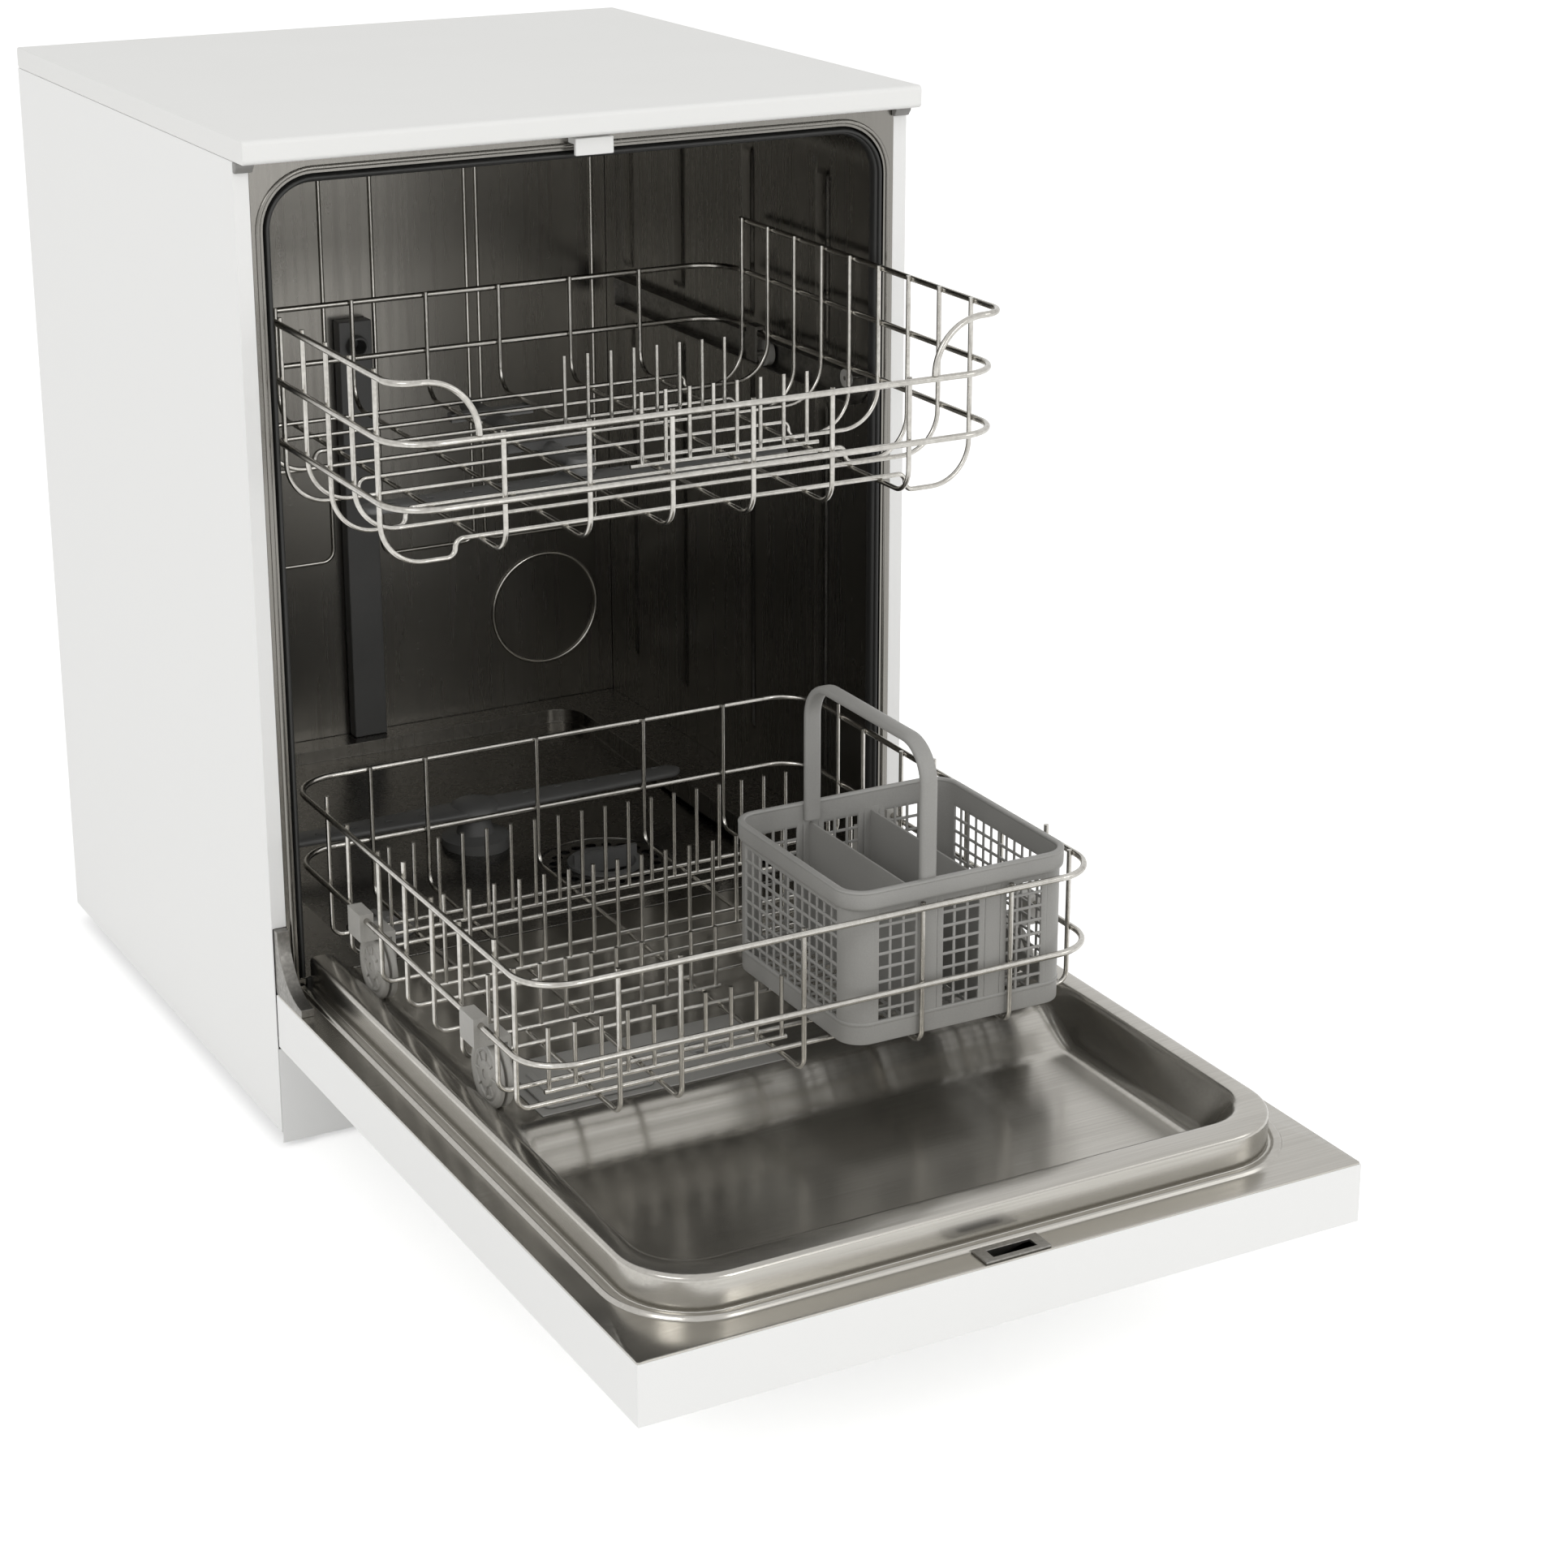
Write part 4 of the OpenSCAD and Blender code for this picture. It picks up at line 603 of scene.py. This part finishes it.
def backPanel():
    low, high = boxOf("back_panel").round(3)
    edge, half = back["edge"], (high[0] - low[0]) / 2
    bottom, top, ends = low[2] + back["low"], high[2] - back["high"], np.linspace(0, edge, 7)
    centres = np.arange(-1, 2)[:, None] * (half - back["inset"])
    left, right = centres - back["width"] / 2, centres + back["width"] / 2
    xs = np.unique(np.concatenate([[-half, half], (left + ends).ravel(), (right - ends).ravel()]).round(3))
    zs = np.concatenate([[low[2]], bottom + ends, top - ends[::-1], [high[2]]])
    across = plateau(xs, left, right, edge).sum(0)
    push = back["depth"] * plateau(zs, bottom, top, edge)[:, None] * across
    outer = np.stack(np.broadcast_arrays(xs, high[1] - push, zs[:, None]), -1)
    ring = np.concatenate([outer, outer[:, ::-1] - (0, back["sheet"], 0)], 1)
    rows, cols = ring.shape[:2]
    shape = Shape().add(ring, gridFaces(rows, cols, closed=True), [np.arange(cols)],
                        [np.arange((rows - 1) * cols, rows * cols)])
    return meshPiece("back_pressed", shape, "back_panel", angle=40)


backPanel()


# Gasket: a soft body carried round the opening with a lip before and one behind it. Its outline lies inside
# the node's box by the given side, top and bottom. Each section is (half width, half depth, place behind
# the front plane, how far it lies inside the outline)
gasket = {"side": 4.2, "top": 4.4, "bottom": -1.6, "radius": 39,
          "sections": [(3.3, 5.6, 7.3, 0), (1.6, 2.8, 1.0, -0.6), (1.6, 2.8, 12.0, 0.3)]}


def doorGasket():
    low, high = boxOf("door_gasket").round(3)
    path, outs = archPath(high[0] - gasket["side"], low[2] + gasket["bottom"], high[2] - gasket["top"],
                          gasket["radius"], 12, 18)
    shape = Shape()
    for halfWidth, halfDepth, y, inset in gasket["sections"]:
        sweep(shape, np.insert(path - outs * inset, 1, y, axis=1), np.insert(outs, 1, 0, axis=1), (0, 1, 0),
              ellipse(halfWidth, halfDepth, 14, 2.6))
    return meshPiece("gasket_profile", shape, "door_gasket", angle=60)


doorGasket()


# Wheels: two discs on one hub, each face turned with grooves and a row of short spokes. One half's
# profile is (radius, height from the middle), and its mirror makes the other
wheel = {"half": [(4.08, 7), (9.4, 7), (10.2, 6.4), (11.2, 5), (17.2, 4.7), (18, 5.9), (19.2, 6.4),
                  (20, 5.7), (21.2, 5.5), (22.2, 6.3), (24.4, 6.7), (26.2, 6.2), (27, 5.1), (27, 1.9),
                  (26.2, 1.2), (22.4, 0.8)],
         "steps": 72, "spokes": 8, "spoke": (0.9, 1.1), "spokeReach": (10.6, 18), "spokeFace": 5.2}


def wheelPiece(node):
    centre = boxOf(node).mean(0)
    side = np.array(wheel["half"])
    profile = np.concatenate([side, side[::-1] * (1, -1), side[:1]])
    shape = lathe(Shape(), profile, centre, "x", wheel["steps"])
    for turn in np.arange(wheel["spokes"]) * 2 * math.pi / wheel["spokes"]:
        ray, across = np.array([0, math.cos(turn), math.sin(turn)]), (0, -math.sin(turn), math.cos(turn))
        for face in (wheel["spokeFace"], -wheel["spokeFace"]):
            sweep(shape, centre + (face, 0, 0) + np.outer(wheel["spokeReach"], ray), across, (1, 0, 0),
                  ellipse(*wheel["spoke"], 8, 3))
    return meshPiece(node + "_turned", shape, node, angle=32)


for node in ("wheel_front_left", "wheel_front_right", "wheel_rear_left", "wheel_rear_right"):
    wheelPiece(node)
print("liner, tub, gasket and wheels done")

# Cutlery basket: posts and bands as strips of sheet, the lattice as crossing round-edged bars, a rim that
# turns outwards, and a handle of flat section on the first post. Bars and strips are (half width, half
# depth). A band is (from, to, thickness, offset, roundness), its heights from the lattice's ends or the top
basket = {"out": 3, "height": 128, "r": 20, "wall": 2.4, "low": 12, "rim": 16, "bays": 3, "post": 14,
          "pitch": 11.6, "lap": 1, "arc": 10, "bar": (1.25, 0.8), "barPlace": (1.25, 0.72),
          "cornerBar": (1.3, 1.2), "postSwell": 0.25, "divider": 0.95,
          "bands": [(("low", -12), ("low", 5), 2.4, 0, 7), (("high", -3.5), ("top", -0.4), 2.4, 0, 7),
                    (("high", 0.5), ("top", 0), 5.4, 1.5, 5), (("top", -3.2), ("top", 0), 5.9, 1.5, 2.6),
                    (("low", 3), ("low", 6.5), 3.2, 0.2, 3)],
          "floorBar": (1.25, 1.0), "floorStart": (8.5, 8.2), "floorHeight": (1.1, 1.6), "floorEnd": 6,
          "floorInset": 1.5, "handleInset": 1, "handleThick": 7, "handleBend": 34, "handleFoot": 2}
basketLow, basketHigh = boxOf("cutlery_basket").round(3)
basketLow[:2] += basket["out"]
basketHigh[:2] -= basket["out"]
basketTop = basketLow[2] + basket["height"]


# A straight bar that stands at a point, from one height to another
def upright(shape, at, low, high, way, out, section):
    sweep(shape, [(*at, low), (*at, high)], (*way, 0), (*out, 0), section)


# One flat lattice wall: as many bars as fit at the pitch, centred, with a strip at each end
def basketWall(shape, start, end, out, low, high):
    start, end, out = np.array(start), np.array(end), np.array(out)
    pitch, lap, (cornerWidth, cornerDepth) = basket["pitch"], basket["lap"], basket["cornerBar"]
    length = np.linalg.norm(end - start)
    way, inner, section = (end - start) / length, -out * basket["wall"] / 2, ellipse(*basket["bar"], 10, 3)
    standing, lying = (inner * share for share in basket["barPlace"])
    columns = int((length + 2 * cornerWidth) // pitch)
    rows = int((high - low + 2 * cornerWidth) // pitch)
    side, base = (length - columns * pitch) / 2, (high - low - rows * pitch) / 2
    for reach in side + np.arange(columns + 1) * pitch:
        upright(shape, start + way * reach + standing, low - lap, high + lap, way, out, section)
    for height in low + base + np.arange(rows + 1) * pitch:
        sweep(shape, [(*(corner + lying), height) for corner in (start, end)], (0, 0, 1), (*out, 0),
              section)
    half = (side + cornerWidth) / 2
    for at in (start + way * half, end - way * half):
        upright(shape, at + inner, low - lap, high + lap, way, out, ellipse(half, cornerDepth, 12, 6))


# Bands right round, and in each corner a bent wall with an upright bar at both ends
def basketBands(shape, low, high):
    half, arc = basket["wall"] / 2, basket["arc"] + 1
    (x0, y0, _), (x1, y1, _) = basketLow, basketHigh
    points, outs = roundedPath(x0 + half, x1 - half, y0 + half, y1 - half, basket["r"] - half, arc - 1)
    level = {"low": low, "high": high, "top": basketTop}
    for start, end, thick, offset, power in basket["bands"]:
        start, end = (level[key] + value for key, value in (start, end))
        sweep(shape, np.insert(points + outs * offset, 2, (start + end) / 2, axis=1),
              np.insert(outs, 2, 0, axis=1), (0, 0, 1), ellipse(thick / 2, (end - start) / 2, 16, power),
              closedPath=True)
    low, high = low - basket["lap"], high + basket["lap"]
    for at, away in zip(points.reshape(4, arc, 2), outs.reshape(4, arc, 2)):
        loop = np.concatenate([at + away * half, (at - away * half)[::-1]])
        ends = np.stack([np.insert(loop, 2, z, axis=1) for z in (low, high)])
        shape.add(ends, gridFaces(2, 2 * arc, closed=True), np.arange(4 * arc).reshape(2, 2 * arc))
        for i in (0, -1):
            upright(shape, at[i], low, high, away[i][::-1] * (-1, 1), away[i],
                    ellipse(*basket["cornerBar"], 12, 3))


# Floor bars both ways. They stop short of the round corners by r - sqrt(r^2 - d^2), where d is how far they
# are into one
def basketFloor(shape):
    r = basket["r"]
    for axis, other in ((0, 1), (1, 0)):
        height = basketLow[2] + basket["floorHeight"][axis]
        first, last = basketLow[axis] + basket["floorStart"][axis], basketHigh[axis] - basket["floorEnd"]
        for at in np.arange(first, last, basket["pitch"]):
            into = max(0.0, r - min(at - basketLow[axis], basketHigh[axis] - at))
            inset = r - math.sqrt(max(r * r - into * into, 0)) + basket["floorInset"]
            ends = np.insert([[basketLow[other] + inset], [basketHigh[other] - inset]], axis, at, axis=1)
            sweep(shape, np.insert(ends, 2, height, axis=1), np.eye(3)[axis], (0, 0, 1),
                  ellipse(*basket["floorBar"], 10, 3))


# The handle: two legs and two quarter bends, whose section follows the arch's own direction
def basketHandle(shape, x, foot):
    half, top, turn = basket["handleThick"] / 2, basketHigh[2], np.linspace(0, math.pi / 2, 12)
    edge, bend = basket["handleInset"] + half, basket["handleBend"]
    front, rear = basketLow[1] + edge, basketHigh[1] - edge
    arch = np.column_stack([front + (bend - half) * (1 - np.cos(turn)),
                            top - bend + (bend - half) * np.sin(turn)])
    leg = np.concatenate([[(front, foot)], arch])
    flat = np.concatenate([leg, leg[::-1] * (-1, 1) + (front + rear, 0)])
    way = np.gradient(flat, axis=0)
    way /= np.linalg.norm(way, axis=1)[:, None]
    sweep(shape, np.insert(flat, 0, x, axis=1), (1, 0, 0), np.insert(way[:, ::-1] * (-1, 1), 0, 0, axis=1),
          ellipse(basket["post"] / 2, half, 20, 3.4))


def cutleryBasket():
    r, post, lap, bays, half = (*(basket[key] for key in ("r", "post", "lap", "bays")), basket["wall"] / 2)
    (x0, y0, z0), (x1, y1, _) = basketLow, basketHigh
    low, high = z0 + basket["low"], basketTop - basket["rim"]
    shape = Shape()
    basketBands(shape, low, high)
    bay = (x1 - x0 - 2 * r - (bays - 1) * post) / bays
    starts = x0 + r + np.arange(bays) * (bay + post)
    posts = starts[1:] - post / 2
    for y, out in ((y0, -1), (y1, 1)):
        for x in starts:
            basketWall(shape, (x, y), (x + bay, y), (0, out), low, high)
        for x in posts:
            upright(shape, (x, y - out * half), low - lap, high + lap, (1, 0), (0, 1),
                    ellipse(post / 2, half + basket["postSwell"], 16, 6))
    for x, out in ((x0, -1), (x1, 1)):
        basketWall(shape, (x, y0 + r), (x, y1 - r), (out, 0), low, high)
    for x in posts:
        sweep(shape, [(x, y, (z0 + high) / 2) for y in (y0 + half, y1 - half)], (1, 0, 0), (0, 0, 1),
              ellipse(basket["divider"], (high - z0) / 2 - lap, 16, 12))
    basketFloor(shape)
    basketHandle(shape, round(posts[0], 2), high + basket["handleFoot"])
    return meshPiece("basket_lattice", shape, "cutlery_basket", angle=42)


cutleryBasket()
print("basket done")

# Spray arms: blades lofted from flat ovals, a domed hub and raised jets. The half width goes evenly from the
# hub's to the tip's, and over the tip's length it closes as the root of 1 - t^2; the thickness follows it
spray = {"half": 19, "tip": 12, "thick": 4.0, "low": 1, "high": 9, "ring": 24, "roundness": 2.8,
         "thinnest": 0.55, "blunt": 0.02, "clear": 0.1, "hub": 24, "hubEdge": 2, "dome": (18, 12),
         "domeEdge": 1.5, "jets": 5, "jetPitch": 34, "jetSide": 4, "jetSunk": 0.08, "jet": (1.9, 0.7),
         "jetPath": [(-3.4, 0, 0), (-2.4, 0, 0.7), (2.4, 0, 0.7), (3.4, 0, 0)],
         "blindBore": (9.1, 9.9), "throughBore": 5.1}


def sprayArm(node, through):
    tip, thick, count, hub, hubEdge = (spray[key] for key in ("tip", "thick", "ring", "hub", "hubEdge"))
    low, high = boxOf(node)
    x0, y0, _ = (low + high) / 2
    straight = high[0] - x0 - tip
    middle, rise = low[2] + (spray["low"] + spray["high"]) / 2, high[2] - spray["clear"]
    left = np.concatenate([-np.cos(np.linspace(0, math.pi / 2, 12)) * tip - straight,
                           np.linspace(-straight, 0, 14)[1:]])
    along = np.concatenate([left, -left[::-1][1:]])
    away = np.abs(along)
    half = spray["half"] + (tip - spray["half"]) * np.clip(away / straight, 0, 1)
    over = np.clip((away - straight) / tip, 0, 1)
    half = (half * np.sqrt(np.maximum(1 - over ** 2, spray["blunt"] ** 2)))[:, None]
    ring = ellipse(1, 1, count, spray["roundness"])
    depth = thick * (spray["thinnest"] + (1 - spray["thinnest"]) * np.minimum(1, half / tip))
    rows = np.stack([np.broadcast_to(x0 + along[:, None], (len(along), count)), y0 + ring[:, 0] * half,
                     middle + ring[:, 1] * depth], -1)
    last = (len(along) - 1) * count
    shape = Shape().add(rows, gridFaces(len(along), count, closed=True), [np.arange(count)],
                        [np.arange(last, last + count)])
    outside = [(hub - hubEdge, low[2]), (hub, low[2] + hubEdge), (hub, middle),
               (hub - hubEdge, low[2] + spray["high"]), (spray["dome"][0], rise - spray["domeEdge"]),
               (spray["dome"][1], rise)]
    if through:
        bore = spray["throughBore"]
        lathe(shape, [(bore, rise), (bore, low[2]), *outside, (bore, rise)], (x0, y0, 0))
    else:
        bore, depth = spray["blindBore"]
        lathe(shape, [(0, low[2] + depth), (bore, low[2] + depth), (bore, low[2]), *outside, (0, rise)],
              (x0, y0, 0))
    for way in (-1, 1):
        y, z = y0 + way * spray["jetSide"], middle + thick - spray["jetSunk"]
        for x in x0 + way * (straight - tip - np.arange(spray["jets"]) * spray["jetPitch"]):
            sweep(shape, np.array(spray["jetPath"]) + (x, y, z), (0, 1, 0), (0, 0, 1),
                  ellipse(*spray["jet"], 12))
    return meshPiece(node + "_blades", shape, node, angle=40)


sprayArm("lower_spray_arm", through=False)
sprayArm("upper_spray_arm", through=True)

# Radii of the rounded edges, in metres
softRadii = {"side_panels": 0.0007, "worktop": 0.0012, "kick_plate": 0.0004, "corner_caps": 0.0011,
             "latch_striker": 0.0009, "door_shell": 0.0012, "control_fascia": 0.001, "hinge_arms": 0.0005,
             "door_latch": 0.0006, "rack_rails": 0.0004, "wheel_brackets": 0.0012, "dispenser_body": 0.0006,
             "dispenser_lid": 0.0008, "rinse_aid_cap": 0.0005, "salt_cap": 0.0008, "base_tray": 0.0012,
             "roller_brackets": 0.0004, "program_knob": 0.0006, "power_button": 0.0004,
             "start_button": 0.0004, "feed_duct": 0.0015, "inlet_valve": 0.0008, "drain_spigot": 0.0005,
             "tub_floor": 0.0005, "threshold_seal": 0.0006}
for node, radius in softRadii.items():
    softEdges(node, radius)
print("edges rounded:", len(softRadii))

# Camera: turns in degrees, focal length in photo pixels over the photo's width, sensor in mm
camera = {"place": (-1.125, -2.382 + frontPlane, 1.257), "yaw": 28.73, "down": 17.87, "focal": 4040 / 1932,
          "sensor": 36, "shift": -0.0975, "far": 60}
cam = bpy.data.objects.new("camera", bpy.data.cameras.new("camera"))
bpy.context.scene.collection.objects.link(cam)
bpy.context.scene.camera = cam
cam.location = camera["place"]
cam.rotation_euler = (math.radians(90 - camera["down"]), 0, math.radians(-camera["yaw"]))
cam.data.sensor_width = camera["sensor"]
cam.data.lens = camera["sensor"] * camera["focal"]
cam.data.shift_y = camera["shift"]
cam.data.clip_end = camera["far"]


# A rectangular lamp: its turn comes from the way to its aim, across and down
def areaLight(name, place, aim, size, power):
    data = bpy.data.lights.new(name, "AREA")
    data.shape = "RECTANGLE"
    data.size, data.size_y = size
    data.energy = power
    lamp = bpy.data.objects.new(name, data)
    bpy.context.scene.collection.objects.link(lamp)
    lamp.location = place
    away = np.array(aim, float) - np.array(place, float)
    yaw = math.atan2(away[1], away[0])
    lamp.rotation_euler = (math.atan2(math.hypot(away[0], away[1]), -away[2]), 0, yaw - math.pi / 2)


# Each lamp is (place, aim, (width, height), power in watts)
lights = {
    "key": ((-2.9, -2.1, 2.7), (0, -0.1, 0.3), (1.8, 1.3), 23),
    "fill": ((2.6, -2.6, 1.7), (0, -0.1, 0.4), (1.2, 1.6), 9),
    "streak": ((0.7, -3.0, 1.3), (0.1, 0.5, 0.5), (0.3, 1.6), 9)}
for name, (place, aim, size, power) in lights.items():
    areaLight("light_" + name, place, aim, size, power)

# The white surroundings: how much they light the object, how bright they look, and a floor whose glow lifts
# it to white where it is seen
studio = {"light": 0.7, "background": 1.0, "floor": (0.93, 0.93, 0.925), "lift": 0.48, "reach": 9,
          "under": 0.0003}


# 1 for a camera, mirror or clear ray and 0 for the rest
def seenRay(tree, kinds=("Is Camera Ray", "Is Glossy Ray", "Is Transmission Ray")):
    rays = addNode(tree, "LightPath").outputs
    total = rays[kinds[0]]
    for kind in kinds[1:]:
        total = mathNode(tree, "MAXIMUM", total, rays[kind])
    return total


world = bpy.data.worlds.new("studio")
bpy.context.scene.world = world
world.use_nodes = True
sky = world.node_tree.nodes["Background"].inputs
sky["Color"].default_value = (1, 0.998, 0.992, 1)
world.node_tree.links.new(mapRange(world.node_tree, seenRay(world.node_tree), 0, 1, studio["light"],
                                   studio["background"]), sky["Strength"])

floorMesh = bpy.data.meshes.new("studio_floor")
floorMesh.from_pydata(np.array([(-1, -1, 0), (1, -1, 0), (1, 1, 0), (-1, 1, 0)]) * studio["reach"]
                      - (0, 0, studio["under"]), [], [(0, 1, 2, 3)])
floorObject = bpy.data.objects.new("studio_floor", floorMesh)
bpy.context.scene.collection.objects.link(floorObject)
floorMat = plastic("studio_floor", studio["floor"], (0.6, 0.7), scale=60, depth=0.0, spread=0.004)
floorTree = floorMat.node_tree
floorShader = floorTree.nodes["Principled BSDF"].inputs
floorShader["Emission Color"].default_value = (1, 1, 1, 1)
floorTree.links.new(mathNode(floorTree, "MULTIPLY", seenRay(floorTree), studio["lift"]),
                    floorShader["Emission Strength"])
floorMesh.materials.append(floorMat)
bpy.context.scene.view_settings.view_transform = "Standard"
print("camera and lights done")
